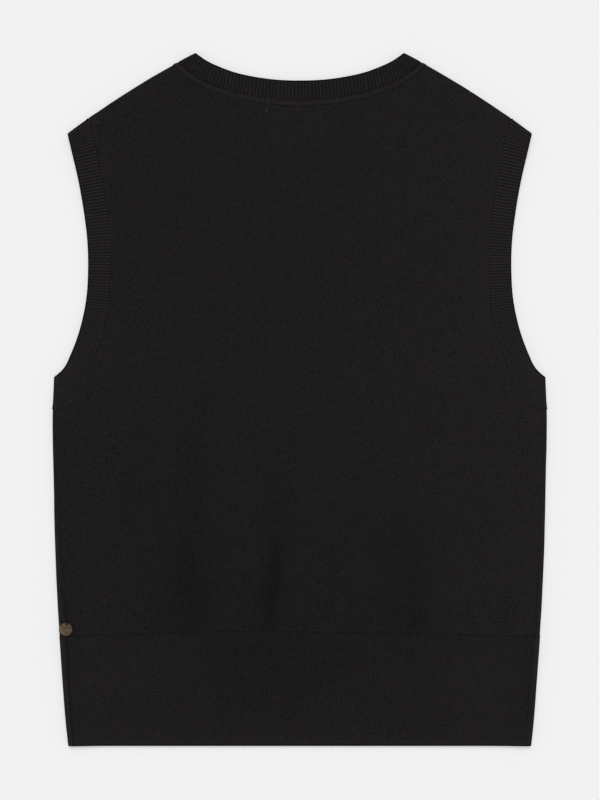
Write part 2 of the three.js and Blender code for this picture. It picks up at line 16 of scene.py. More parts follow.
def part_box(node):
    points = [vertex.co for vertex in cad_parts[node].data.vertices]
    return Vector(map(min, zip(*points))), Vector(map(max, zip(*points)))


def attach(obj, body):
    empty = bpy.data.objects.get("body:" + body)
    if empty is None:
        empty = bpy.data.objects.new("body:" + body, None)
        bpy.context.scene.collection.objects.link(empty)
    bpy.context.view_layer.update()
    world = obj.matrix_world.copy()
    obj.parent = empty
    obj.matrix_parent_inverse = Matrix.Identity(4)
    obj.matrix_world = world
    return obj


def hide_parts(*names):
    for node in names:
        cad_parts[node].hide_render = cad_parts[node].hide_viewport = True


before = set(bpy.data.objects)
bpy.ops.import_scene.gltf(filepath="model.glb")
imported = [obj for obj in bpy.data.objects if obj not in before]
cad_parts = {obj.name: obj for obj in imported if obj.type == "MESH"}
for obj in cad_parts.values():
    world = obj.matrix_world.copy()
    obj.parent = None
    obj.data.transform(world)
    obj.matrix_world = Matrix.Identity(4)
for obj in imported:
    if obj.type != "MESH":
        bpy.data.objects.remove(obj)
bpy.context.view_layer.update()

bl_info = {
    "name": "Laid knit vest",
    "version": (1, 0, 0),
    "blender": (4, 5, 0),
    "location": "View3D > Sidebar > Knit vest",
    "description": "Builds the cloth, ribs, seams and disc of a knitted vest laid flat",
    "category": "Object",
}

MM = 0.001

# Heights and walls of the cloth, in millimetres
OUTER = 0.8
JERSEY_WALL = 1.6
RIB_INNER = 1.0
SEAM_GAP = 0.12
FOLD_RADIUS = 2.2
FOLD_LEVEL = OUTER + FOLD_RADIUS
REST_LEVEL = 3.2
FOLD_REACH = 18.0
FOLD_FADE = 30.0
QUARTER = FOLD_RADIUS * math.pi / 2
EXTRA = QUARTER - FOLD_RADIUS

# Places taken from the frame
HEM_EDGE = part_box("hem_rib_back")[0].y / MM
DISC_LOW, DISC_HIGH = (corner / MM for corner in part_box("charm"))
DISC_CENTRE = (DISC_LOW + DISC_HIGH) / 2
DISC_RADIUS = (DISC_HIGH.x - DISC_LOW.x) / 2
DISC_THICKNESS = DISC_HIGH.z - DISC_LOW.z

# Height on the vest and half width out to the folded side
SIDE = (
    (19.0, 218.7),
    (-20.0, 220.1),
    (-72.0, 219.1),
    (-125.0, 218.0),
    (-179.0, 215.7),
    (-219.0, 213.2),
    (-259.0, 210.5),
    (-286.0, 208.4),
    (HEM_EDGE, 206.0),
)
UNDERARM = SIDE[0][0]
WIDEST = SIDE[0][1]

# Height and how far inside the folded edge each side seam lies on the back
SEAM_INSET = {
    -1: (
        (0.0, 3.0),
        (-90.0, 3.6),
        (-143.0, 5.2),
        (-178.0, 6.8),
        (-222.0, 6.9),
        (-258.0, 5.9),
        (HEM_EDGE, 5.7),
    ),
    1: ((0.0, 3.0), (-90.0, 3.6), (-143.0, 4.4), (-178.0, 4.9), (-245.0, 7.0), (HEM_EDGE, 6.3)),
}

# Height and how dark each side seam lies on the back
SEAM_DEPTH = {
    -1: ((0.0, 0.08), (-90.0, 0.12), (-143.0, 0.22), (-178.0, 0.3), (HEM_EDGE, 0.36)),
    1: ((0.0, 0.0), (-90.0, 0.03), (-143.0, 0.12), (-222.0, 0.2), (HEM_EDGE, 0.14)),
}

# Place across and height of the line where the hem rib is linked on
HEM_LINE = (
    (-207.0, -209.4),
    (-165.0, -209.0),
    (-100.0, -206.3),
    (-30.0, -204.9),
    (20.0, -206.0),
    (95.0, -206.6),
    (165.0, -209.0),
    (207.0, -209.4),
)
HEM_JOIN = HEM_LINE[0][1]

# Shoulder fold: its two ends as half width and height, and its bow
SHOULDER_TIP = (206.5, 236.5)
NECK_POINT = (93.4, 307.9)
SHOULDER_BOW = 2.9

# Half width and height along the armhole's open edge and linking line
ARM_EDGE = (
    (203.1, 221.8),
    (197.0, 195.1),
    (192.3, 168.4),
    (189.0, 141.7),
    (188.3, 115.0),
    (190.1, 88.3),
    (195.9, 61.6),
    (204.0, 39.5),
    (210.0, 27.5),
)
ARM_LINK = (
    (181.0, 223.2),
    (175.3, 190.0),
    (171.0, 164.0),
    (169.2, 138.0),
    (169.0, 108.0),
    (170.6, 80.0),
    (176.8, 54.0),
    (185.0, 30.0),
    (194.5, 8.0),
    (204.0, -5.0),
    (212.0, -9.2),
)
ARM_LINK_TOP = 187.5
ARM_LINK_END = -10.0

# Half width and height along the neck's open edges and linking lines, from the middle out
NECK_EDGE = {
    1: ((0, 283.8), (20, 284.5), (40, 287.1), (57.5, 291.0), (71.2, 295.9), (82, 300.8)),
    -1: ((0, 222.5), (30, 226.5), (58, 240.0), (78, 264.0), (88, 288.0)),
}
NECK_LINK = {
    1: ((0, 260.6), (21, 261.6), (43, 264.7), (64, 269.4), (85, 276.8), (101, 286.6)),
    -1: ((0, 201.5), (37, 206.0), (72, 223.5), (97, 254.0), (108.5, 281.0)),
}
NECK_LINK_TOP = 114.0

# Ribs on the back and on the front of each band
NECK_RIBS = {1: 75, -1: 101}
ARM_RIBS = {1: 108, -1: 108}
HEM_RIBS = 232

# Share along an armhole's linking line and how closely the ribs follow each other there
RIB_CROWDING = ((0.0, 1.08), (0.25, 1.12), (0.5, 1.17), (0.6, 1.25), (0.68, 1.42), (1.0, 1.38))

# Share along that line and the share across the band that is worn plain in the corner
PLAIN_CORNER = ((0.66, -0.2), (0.72, -0.02), (0.8, 0.18), (0.86, 0.36), (0.91, 0.56), (1.0, 0.8))

# Half width on the neck's linking line and on its open edge, where the same rib ends
NECK_RUNS = ((0.0, 0.0), (60.0, 56.0), (85.0, 79.0), (101.0, 90.5), (114.0, 93.4))

# Ends of the tack stitches inside the back neck
TACKS = (
    (-27.1, 267.8, -28.9, 261.2),
    (-29.1, 258.2, -29.3, 255.8),
    (33.8, 269.8, 33.4, 263.4),
)

# Soft troughs in the back: from x, y to x, y, half width and depth
TROUGHS = (
    (-24, -200, -23, -112, 7, 1.1),
    (-23, -112, -8, -45, 9, 0.5),
    (-97, -200, -106, -140, 16, 0.8),
    (106, -200, 105, -92, 9, 0.9),
    (184, -198, 183, -150, 10, 0.7),
)
FULLNESS = 1.1
FULL_FROM, FULL_TOP, FULL_TO = -208.0, -165.0, -60.0
DEEPEST = 0.35

# Short creases, ripples and ridges that are finer than the main troughs, in the same
# columns, where a negative depth is a ridge
CREASES = (
    (-190, -2, -180, 12, 2.6, 0.45),
    (183, 14, 192, -3, 2.6, 0.5),
    (-176, 26, -165, 8, 4.0, 0.25),
    (172, 30, 160, 6, 4.0, 0.25),
    (-60, -205, -57, -172, 5, 0.4),
    (40, -205, 44, -168, 5, 0.45),
    (70, -205, 66, -180, 4, -0.35),
    (-140, -205, -146, -172, 6, 0.35),
    (150, -205, 147, -176, 5, 0.4),
    (116, -203, 118, -120, 4, -0.5),
    (-14, -200, -12, -140, 4, -0.45),
    (90, 60, 122, 96, 16, 0.35),
    (-60, -36, 70, -38, 9, 0.22),
    (120, 50, 138, -40, 18, -0.3),
    (-150, 170, -120, 60, 22, -0.25),
)

# Low lifts of the hidden front, where its cloth doesn't quite meet the surface
UNDER_LIFTS = (
    (-120, -190, -112, -110, 10, 0.28),
    (52, -196, 58, -120, 8, 0.3),
    (150, -180, 146, -120, 9, 0.25),
    (-175, 10, -150, 40, 8, 0.28),
    (178, 12, 152, 44, 8, 0.25),
    (-40, 170, 36, 174, 9, 0.22),
)

# Painted shade in streaks along the troughs and creases, or painted light where the share is negative, with
# the columns of the troughs and a share of the yarn's range in place of the depth
PAINTED_STREAKS = (
    (-106, -218, -103, -120, 23, 0.06),
    (-102, -214, -92, 0, 17, 0.08),
    (-92, -218, -94, -140, 9, 0.05),
    (-30, -218, -18, -106, 7, 0.21),
    (-30, -214, -14, -20, 12, 0.06),
    (104, -218, 100, -108, 11, 0.12),
    (88, -214, 84, -60, 28, 0.08),
    (180, -214, 182, -165, 8, 0.08),
    (-97, -150, -86, 130, 13, 0.035),
    (-152, -30, -140, -125, 30, 0.04),
    (88, 106, 91, 92, 11, 0.05),
    (114, 60, 118, 50, 8, 0.05),
    (-86, 283, -48, 262, 6, 0.07),
    (82, 281, 50, 263, 6, 0.06),
    (165, 118, 163, 40, 10, -0.09),
    (132, 36, 128, 8, 20, -0.05),
    (-178, 40, -186, -40, 9, -0.03),
    (60, -214, 58, -120, 10, -0.03),
    (-60, -214, -58, -150, 9, -0.04),
    (-10, -226, -6, -60, 190, 0.05),
    (-20, -224, -10, -150, 120, 0.03),
)
# Painted shade streaks on the hem rib, or painted light where the share is negative, in the same columns
HEM_PAINTED_STREAKS = (
    (-60, -206, -50, -290, 24, 0.07),
    (-10, -206, -8, -305, 28, 0.06),
    (0, -204, 4, -262, 130, 0.06),
    (30, -206, 34, -250, 16, 0.03),
    (-150, -225, -140, -265, 30, -0.05),
    (150, -230, 146, -290, 36, -0.05),
)

# Tones, as shares of the yarn's range, most of them painted light and shade: painted shade in the rib valleys
# and painted highlight on the rib crests, a painted highlight on the linking ridge, a painted lighter corner
# under each arm, painted shade where cloth turns down at edges and folds, and a painted light strip where the
# front lies on the back
RIB_MEAN = 0.5
NECK_CONTRAST = 0.78
ARM_CONTRAST = 0.85
ARM_TONE = 0.09
RIDGE_TONE = 0.38
HEM_CONTRAST = 0.5
EDGE_SHADE = 0.5
CORNER_TONE = 0.14
PANEL_TONE = 0.028
NECK_TONE = -0.06
STRIP_TONE = 0.32
YARN_TONE = 0.49

# Turn of the lint's noise, so that none of its own layers lies level with the cloth
GRAIN_TURN = (0.62, 0.47, 0.3)

# Points round a folded edge, and the step between points along it
ROLL_COUNT = 5
EDGE_STEP = 3.2

# Painted shade and painted highlight of the short creases at the underarms, in dark and light pairs, and
# painted shade in a notch under the right arm: from x, y to x, y, half width and share, lighter where
# negative
UNDERARM_CREASE_SHADING = (
    (-188.3, 1.6, -181.6, 10.9, 1.1, 0.34),
    (-186.4, 0.8, -179.9, 9.8, 0.9, -0.2),
    (181.0, 9.6, 189.2, -2.6, 1.1, 0.2),
    (182.7, 10.2, 190.9, -2.0, 0.9, -0.24),
    (215.7, -10.0, 215.7, -16.0, 0.8, 0.3),
)

# Linking yarn: its radius and how far it is sunk between the edges
LINK_RADIUS = 0.34
LINK_SUNK = 0.38


def srgb(text):
    """Linear colour of an sRGB hex value."""
    parts = [int(text[k : k + 2], 16) / 255 for k in (0, 2, 4)]
    return tuple(c / 12.92 if c <= 0.04045 else ((c + 0.055) / 1.055) ** 2.4 for c in parts)


class VestCloth(bpy.types.PropertyGroup):
    """Sizes of the knit that a user may change."""

    wale: bpy.props.FloatProperty(
        name="Wale width",
        description="Width of one column of jersey stitches, in millimetres",
        default=1.75,
        min=0.5,
    )
    course: bpy.props.FloatProperty(
        name="Course height",
        description="Height of one row of stitches, in millimetres",
        default=1.25,
        min=0.4,
    )
    point_step: bpy.props.FloatProperty(
        name="Point spacing",
        description="Spacing of the points of a jersey panel, in millimetres",
        default=3.2,
        min=1.5,
    )


class VestRibs(bpy.types.PropertyGroup):
    """Heights of the ribs of each band."""

    neck: bpy.props.FloatProperty(
        name="Neckband ribs",
        description="Height of the neckband's ribs, in millimetres",
        default=0.62,
    )
    arm: bpy.props.FloatProperty(
        name="Armband ribs",
        description="Height of the armbands' ribs, in millimetres",
        default=0.62,
    )
    hem: bpy.props.FloatProperty(
        name="Hem ribs",
        description="Height of the hem's ribs, in millimetres",
        default=0.5,
    )
    ridge: bpy.props.FloatProperty(
        name="Linking ridge",
        description="Height of the ridge under the neckband, in millimetres",
        default=0.75,
    )


class VestColours(bpy.types.PropertyGroup):
    """Colours of the yarn and of the disc."""

    yarn: bpy.props.FloatVectorProperty(
        name="Yarn",
        description="Colour of the yarn where it faces the light",
        subtype="COLOR",
        size=3,
        min=0,
        max=1,
        default=srgb("241d1f"),
    )
    fleck: bpy.props.FloatVectorProperty(
        name="Fleck",
        description="Colour of the cooler fibres in the yarn",
        subtype="COLOR",
        size=3,
        min=0,
        max=1,
        default=srgb("1f201f"),
    )
    shade: bpy.props.FloatVectorProperty(
        name="Between stitches",
        description="Colour down between the stitches",
        subtype="COLOR",
        size=3,
        min=0,
        max=1,
        default=srgb("060505"),
    )
    brass: bpy.props.FloatVectorProperty(
        name="Brass",
        description="Colour of the disc where it is rubbed bare",
        subtype="COLOR",
        size=3,
        min=0,
        max=1,
        default=srgb("4c4132"),
    )
    patina: bpy.props.FloatVectorProperty(
        name="Patina",
        description="Colour of the disc's dark patina",
        subtype="COLOR",
        size=3,
        min=0,
        max=1,
        default=srgb("2a231b"),
    )


class VestStage(bpy.types.PropertyGroup):
    """Floor and camera."""

    floor: bpy.props.FloatVectorProperty(
        name="Floor",
        description="Colour of the plain floor",
        subtype="COLOR",
        size=3,
        min=0,
        max=1,
        default=srgb("f2f2f2"),
    )
    view_height: bpy.props.FloatProperty(
        name="View height",
        description="Height of what the camera takes in",
        default=0.7112,
        unit="LENGTH",
        subtype="DISTANCE",
    )
    lens: bpy.props.FloatProperty(
        name="Lens",
        description="Focal length of the camera, in millimetres",
        default=85.0,
    )


def smooth_rows(rows, at):
    """Smooth value at a place along rows of (place, value)."""
    table = np.array(sorted(rows), float)
    place, value = table[:, 0], table[:, 1]
    slope = np.gradient(value, place)
    slope[1:-1] = (value[2:] - value[:-2]) / (place[2:] - place[:-2])
    at = np.clip(at, place[0], place[-1])
    k = np.clip(np.searchsorted(place, at) - 1, 0, len(place) - 2)
    span = place[k + 1] - place[k]
    t = (at - place[k]) / span
    curve = value[k] + (2 * t**3 - 3 * t**2) * (value[k] - value[k + 1])
    return curve + ((t**3 - 2 * t**2 + t) * slope[k] + (t**3 - t**2) * slope[k + 1]) * span


def ease(low, high, at):
    """Soft step from 0 to 1."""
    t = np.clip((at - low) / (high - low), 0, 1)
    return t * t * (3 - 2 * t)


def shoulder_circle():
    """Centre and radius of the circle that a shoulder fold lies on."""
    tip, neck = np.array(SHOULDER_TIP), np.array(NECK_POINT)
    run = neck - tip
    half_chord = np.hypot(*run) / 2
    radius = (half_chord**2 + SHOULDER_BOW**2) / (2 * SHOULDER_BOW)
    outward = np.array([run[1], -run[0]]) / np.hypot(*run)
    centre = (tip + neck) / 2 + outward * (SHOULDER_BOW - radius)
    return centre[0], centre[1], radius - OUTER


SHOULDER_X, SHOULDER_Y, SHOULDER_RADIUS = shoulder_circle()


def side_fold(y):
    """Half width of the reference surface at a folded side."""
    return smooth_rows(SIDE, np.minimum(y, UNDERARM)) - OUTER


def side_fold_flat(y):
    return side_fold(y) + EXTRA


def hem_line(x):
    return smooth_rows(HEM_LINE, x)


def seam_half(y, hand):
    """Half width of a side seam on the back."""
    return side_fold(y) + OUTER - smooth_rows(SEAM_INSET[hand], y)


def shoulder_flat(half, inset=0.0):
    """Height of the shoulder fold, spread flat, at a half width."""
    radius = SHOULDER_RADIUS + EXTRA - inset
    return SHOULDER_Y + np.sqrt(radius**2 - (half - SHOULDER_X) ** 2)


def over_side(half, y):
    """A half width on the back, as the front cloth reaches it past the side fold."""
    return 2 * side_fold_flat(y) - half


def trough_depth(rows, x, y):
    """Depth of all the troughs at points, each one tapered at its ends."""
    depth = np.zeros(np.shape(x))
    for from_x, from_y, to_x, to_y, width, deep in rows:
        run = np.array([to_x - from_x, to_y - from_y], float)
        dx, dy = x - from_x, y - from_y
        along = (dx * run[0] + dy * run[1]) / (run @ run)
        off = (dx * run[1] - dy * run[0]) / np.hypot(*run)
        ends = ease(-0.25, 0.05, along) * (1 - ease(0.5, 1.15, along))
        depth += deep * ends * np.exp(-((off / width) ** 2))
    return depth


def back_height(x, y):
    """Height of the reference surface on the back."""
    half = np.abs(x)
    to_shoulder = SHOULDER_RADIUS - np.hypot(half - SHOULDER_X, y - SHOULDER_Y)
    to_side = side_fold(y) - half

    def lift(distance):
        return np.exp(-((np.maximum(distance - FOLD_RADIUS, 0) / FOLD_REACH) ** 2))

    at_side = lift(to_side) * (1 - ease(UNDERARM, UNDERARM + FOLD_FADE, y))
    raised = np.maximum(lift(to_shoulder), at_side)
    full = ease(FULL_FROM, FULL_TOP, y) * (1 - ease(FULL_TOP, FULL_TO, y))
    soft = FULLNESS * full - trough_depth(TROUGHS, x, y) - trough_depth(CREASES, x, y)
    soft = np.maximum(soft, -DEEPEST) * ease(4, 30, to_side) * ease(FULL_FROM, -200, y)
    crown = FOLD_LEVEL + FOLD_RADIUS
    return REST_LEVEL + (crown - REST_LEVEL) * raised + soft


def front_height(x, y):
    """Height of the reference surface in the front layer, which lifts a little in places."""
    return OUTER + trough_depth(UNDER_LIFTS, x, y)


def lay(x, y, layer):
    """Places of points of the flat cloth on the laid vest. The layer is 1 for the back and
    -1 for the front, whose cloth goes on over the side folds onto the back."""
    x, y = np.broadcast_arrays(np.asarray(x, float), np.asarray(y, float))
    hand = np.where(x < 0, -1.0, 1.0)
    half = np.abs(x)
    away = np.hypot(half - SHOULDER_X, y - SHOULDER_Y)
    start = SHOULDER_RADIUS - FOLD_RADIUS
    turn = (away - start) / FOLD_RADIUS
    reach = (start + FOLD_RADIUS * np.sin(turn)) / away
    over_shoulder = np.stack(
        [
            hand * (SHOULDER_X + (half - SHOULDER_X) * reach),
            SHOULDER_Y + (y - SHOULDER_Y) * reach,
            FOLD_LEVEL + layer * FOLD_RADIUS * np.cos(turn),
        ],
        -1,
    )
    on_shoulder = away > start
    side_start = side_fold(y) - FOLD_RADIUS
    turn = (half - side_start) / FOLD_RADIUS
    rolled_x = hand * (side_start + FOLD_RADIUS * np.sin(turn))
    rolled = np.stack([rolled_x, y, FOLD_LEVEL + layer * FOLD_RADIUS * np.cos(turn)], -1)
    back_x = hand * (side_start - (turn - math.pi) * FOLD_RADIUS)
    wrapped = np.stack([back_x, y, back_height(back_x, y)], -1)
    level = back_height(x, y) if layer > 0 else front_height(x, y)
    flat = np.stack([x, y, level], -1)
    is_wrapped = (turn > math.pi) & (layer < 0)
    is_rolled = (turn > 0) & (y < UNDERARM + 1) & ~is_wrapped
    placed = np.where(is_rolled[..., None], rolled, flat)
    placed = np.where(is_wrapped[..., None], wrapped, placed)
    return np.where(on_shoulder[..., None], over_shoulder, placed)


def raised(x, y, layer, relief):
    """Points of laid cloth moved out of the reference surface by a relief."""
    step = 0.05
    across = lay(x + step, y, layer) - lay(x - step, y, layer)
    along = lay(x, y + step, layer) - lay(x, y - step, layer)
    normal = np.cross(across, along) * layer
    normal /= np.linalg.norm(normal, axis=-1, keepdims=True)
    return lay(x, y, layer) + normal * np.asarray(relief)[..., None]


class FlatCurve:
    """Smooth curve through points of the flat pattern, read by share of its length."""

    def __init__(self, points):
        pts = np.array(points, float)
        pts = np.vstack([2 * pts[0] - pts[1], pts, 2 * pts[-1] - pts[-2]])
        steps = np.sqrt(np.linalg.norm(np.diff(pts, axis=0), axis=1))
        pieces = []
        t = np.linspace(0, 1, 60, endpoint=False)[:, None]
        for k in range(1, len(pts) - 2):
            a, b, c, d = pts[k - 1 : k + 3]
            before, span, after = steps[k - 1 : k + 2]
            m0 = ((b - a) / before - (c - a) / (before + span) + (c - b) / span) * span
            m1 = ((c - b) / span - (d - b) / (span + after) + (d - c) / after) * span
            curve = b + (2 * t**3 - 3 * t**2) * (b - c)
            pieces.append(curve + (t**3 - 2 * t**2 + t) * m0 + (t**3 - t**2) * m1)
        self.points = np.vstack([*pieces, pts[-2]])
        lengths = np.linalg.norm(np.diff(self.points, axis=0), axis=1)
        self.sums = np.concatenate([[0], np.cumsum(lengths)])
        self.length = self.sums[-1]

    def at(self, share):
        where = np.asarray(share) * self.length
        return np.stack([np.interp(where, self.sums, self.points[:, k]) for k in (0, 1)], -1)

    def offset(self, share, distance):
        """Points off the curve, to the left of its direction if the distance is positive."""
        step = 0.3 / self.length
        ahead = self.at(np.minimum(np.asarray(share) + step, 1))
        behind = self.at(np.maximum(np.asarray(share) - step, 0))
        run = (ahead - behind) / np.linalg.norm(ahead - behind, axis=-1, keepdims=True)
        return self.at(share) + distance * np.stack([-run[..., 1], run[..., 0]], -1)


def arm_curve(rows, top_half, end_y):
    top = (top_half, shoulder_flat(top_half))
    end = (float(side_fold_flat(end_y)), end_y)
    return FlatCurve([top, *rows, end])


def neck_curve(rows, top_half):
    right = [*rows, (top_half, shoulder_flat(top_half))]
    return FlatCurve([*((-x, y) for x, y in reversed(right[1:])), *right])


ARM_EDGE_CURVE = arm_curve(ARM_EDGE, SHOULDER_TIP[0], UNDERARM)
ARM_LINK_CURVE = arm_curve(ARM_LINK, ARM_LINK_TOP, ARM_LINK_END)
NECK_EDGE_CURVES = {k: neck_curve(rows, NECK_POINT[0]) for k, rows in NECK_EDGE.items()}
NECK_LINK_CURVES = {k: neck_curve(rows, NECK_LINK_TOP) for k, rows in NECK_LINK.items()}


def station_shares(length, step, roll_count):
    """Shares of a curve from fold to fold, close together where the cloth rolls over."""
    roll = np.arange(roll_count) * QUARTER / roll_count
    count = max(round((length - 2 * QUARTER) / step), 1)
    between = np.linspace(QUARTER, length - QUARTER, count + 1)
    return np.concatenate([roll, between, (length - roll)[::-1]]) / length


def new_object(name, points, faces, flat=None, material=None, tone=0.0):
    """Object from points in millimetres and faces that all turn the same way, with the flat
    places of its points as its UV map in metres and a tone at each point, which carries painted light and
    shade along with the yarn's own tone."""
    mesh = bpy.data.meshes.new(name)
    points = np.asarray(points, float)
    mesh.from_pydata((points * MM).tolist(), [], faces)
    mesh.update()
    mesh.calc_loop_triangles()
    corners = np.empty(len(mesh.loop_triangles) * 3, int)
    mesh.loop_triangles.foreach_get("vertices", corners)
    a, b, c = (points[corners.reshape(-1, 3)[:, k]] for k in range(3))
    if np.einsum("ij,ij->i", a, np.cross(b, c)).sum() < 0:
        mesh.flip_normals()
    if flat is not None:
        loops = np.empty(len(mesh.loops), int)
        mesh.loops.foreach_get("vertex_index", loops)
        layer = mesh.uv_layers.new(name="FlatCloth")
        layer.data.foreach_set("uv", (np.asarray(flat, float)[loops] * MM).ravel())
    tones = mesh.attributes.new("Tone", "FLOAT", "POINT")
    tones.data.foreach_set("value", np.broadcast_to(np.asarray(tone, float), len(points)).copy())
    mesh.polygons.foreach_set("use_smooth", [True] * len(mesh.polygons))
    piece = bpy.data.objects.new(name, mesh)
    bpy.context.scene.collection.objects.link(piece)
    if material:
        mesh.materials.append(material)
    return piece


def stitch_lines(points, line_a, line_b):
    """Triangles between two lines of points that run the same way."""

    def shares(line):
        steps = np.linalg.norm(np.diff(points[line], axis=0), axis=1)
        return np.concatenate([[0], np.cumsum(steps)]) / steps.sum()

    a, b = shares(line_a), shares(line_b)
    faces = []
    i = j = 0
    while i < len(line_a) - 1 or j < len(line_b) - 1:
        if j == len(line_b) - 1 or (i < len(line_a) - 1 and a[i + 1] <= b[j + 1]):
            faces.append((line_a[i], line_a[i + 1], line_b[j]))
            i += 1
        else:
            faces.append((line_a[i], line_b[j + 1], line_b[j]))
            j += 1
    return faces


def wall(outer, inner, closed):
    """Points and faces of a wall between a fine outer grid and a plainer inner one."""
    points = np.vstack([outer.reshape(-1, 3), inner.reshape(-1, 3)])
    out = np.arange(outer.shape[0] * outer.shape[1]).reshape(outer.shape[:2])
    inn = np.arange(inner.shape[0] * inner.shape[1]).reshape(inner.shape[:2]) + out.size
    if closed:
        out = np.hstack([out, out[:, :1]])
        inn = np.hstack([inn, inn[:, :1]])

    def skin(ids):
        quads = np.stack([ids[:-1, :-1], ids[:-1, 1:], ids[1:, 1:], ids[1:, :-1]], -1)
        return quads.reshape(-1, 4)

    faces = skin(out).tolist() + skin(inn)[:, ::-1].tolist()
    faces += stitch_lines(points, inn[0], out[0]) + stitch_lines(points, out[-1], inn[-1])
    if not closed:
        faces += stitch_lines(points, out[:, 0], inn[:, 0])
        faces += stitch_lines(points, inn[:, -1], out[:, -1])
    return points, faces


def outline_shade(x, y):
    """1 on the last millimetre of cloth before it turns down at a fold, 0 inside it."""
    half = np.abs(x)
    to_shoulder = SHOULDER_RADIUS + EXTRA - np.hypot(half - SHOULDER_X, y - SHOULDER_Y)
    to_side = np.where(y < UNDERARM + 1, side_fold_flat(y) - half, to_shoulder)
    return 1 - ease(1.5, 2.6, np.minimum(to_shoulder, to_side))


def disc_shadow(x, y):
    """Painted shadow: a dark ring on the knit round the disc, strongest to its upper right."""
    dx, dy = x - DISC_CENTRE.x, y - DISC_CENTRE.y
    away = np.hypot(dx, dy)
    lee = ease(-0.5, 0.7, (0.8 * dx + 0.6 * dy) / np.maximum(away, 0.1))
    return 0.4 * lee * np.exp(-(((away - DISC_RADIUS - 0.4) / 1.2) ** 2))


def seam_shade(x, y, to_seam):
    """Tone of the cloth where it turns in at a side seam."""
    depth = np.where(x < 0, smooth_rows(SEAM_DEPTH[-1], y), smooth_rows(SEAM_DEPTH[1], y))
    return depth * (1 - ease(0.2, 1.3, to_seam))


def rib_places(even):
    """Shares of an armhole's linking line at even steps of the ribs, which crowd together
    towards the underarm."""
    fine = np.linspace(0, 1, 600)
    passed = np.cumsum(np.interp(fine, *np.array(RIB_CROWDING).T))
    return np.interp(even, (passed - passed[0]) / (passed[-1] - passed[0]), fine)


def neck_spread(layer, shares):
    """Share of the neck's open edge that a rib from the linking line runs to."""
    if layer < 0:
        return shares
    half = NECK_LINK_CURVES[1].at(shares)[:, 0]
    fine = np.linspace(0, 1, 900)
    across = NECK_EDGE_CURVES[1].at(fine)[:, 0]
    reach = np.interp(np.abs(half), *np.array(NECK_RUNS).T)
    return np.interp(np.sign(half) * reach, across, fine)


def armband_spread(layer, shares):
    """Share of the armhole's open edge that a rib from the linking line runs to on either
    layer, straight across the band, apart from its two ends."""
    first, last = 0.1, 0.8
    fine = np.linspace(0, 1, 900)
    edge = ARM_EDGE_CURVE.at(fine)
    middle = np.linspace(first, last, 80)
    link = ARM_LINK_CURVE.at(middle)
    away = np.linalg.norm(link[:, None] - edge[None], axis=2)
    near = np.maximum.accumulate(fine[away.argmin(1)])
    kernel = np.ones(9) / 9
    near[4:-4] = np.convolve(near, kernel, "valid")
    return np.interp(shares, np.concatenate([[0], middle, [1]]), np.concatenate([[0], near, [1]]))


def rib_wave(phase):
    """Cross section of 1x1 rib: round ribs with narrow valleys at whole numbers."""
    return (0.5 - 0.5 * np.cos(2 * math.pi * phase)) ** 0.5


def on_back(placed):
    """1 where cloth faces up, 0 where it rests on its face."""
    return ease(FOLD_LEVEL - FOLD_RADIUS / 2, FOLD_LEVEL + FOLD_RADIUS, placed[..., 2])


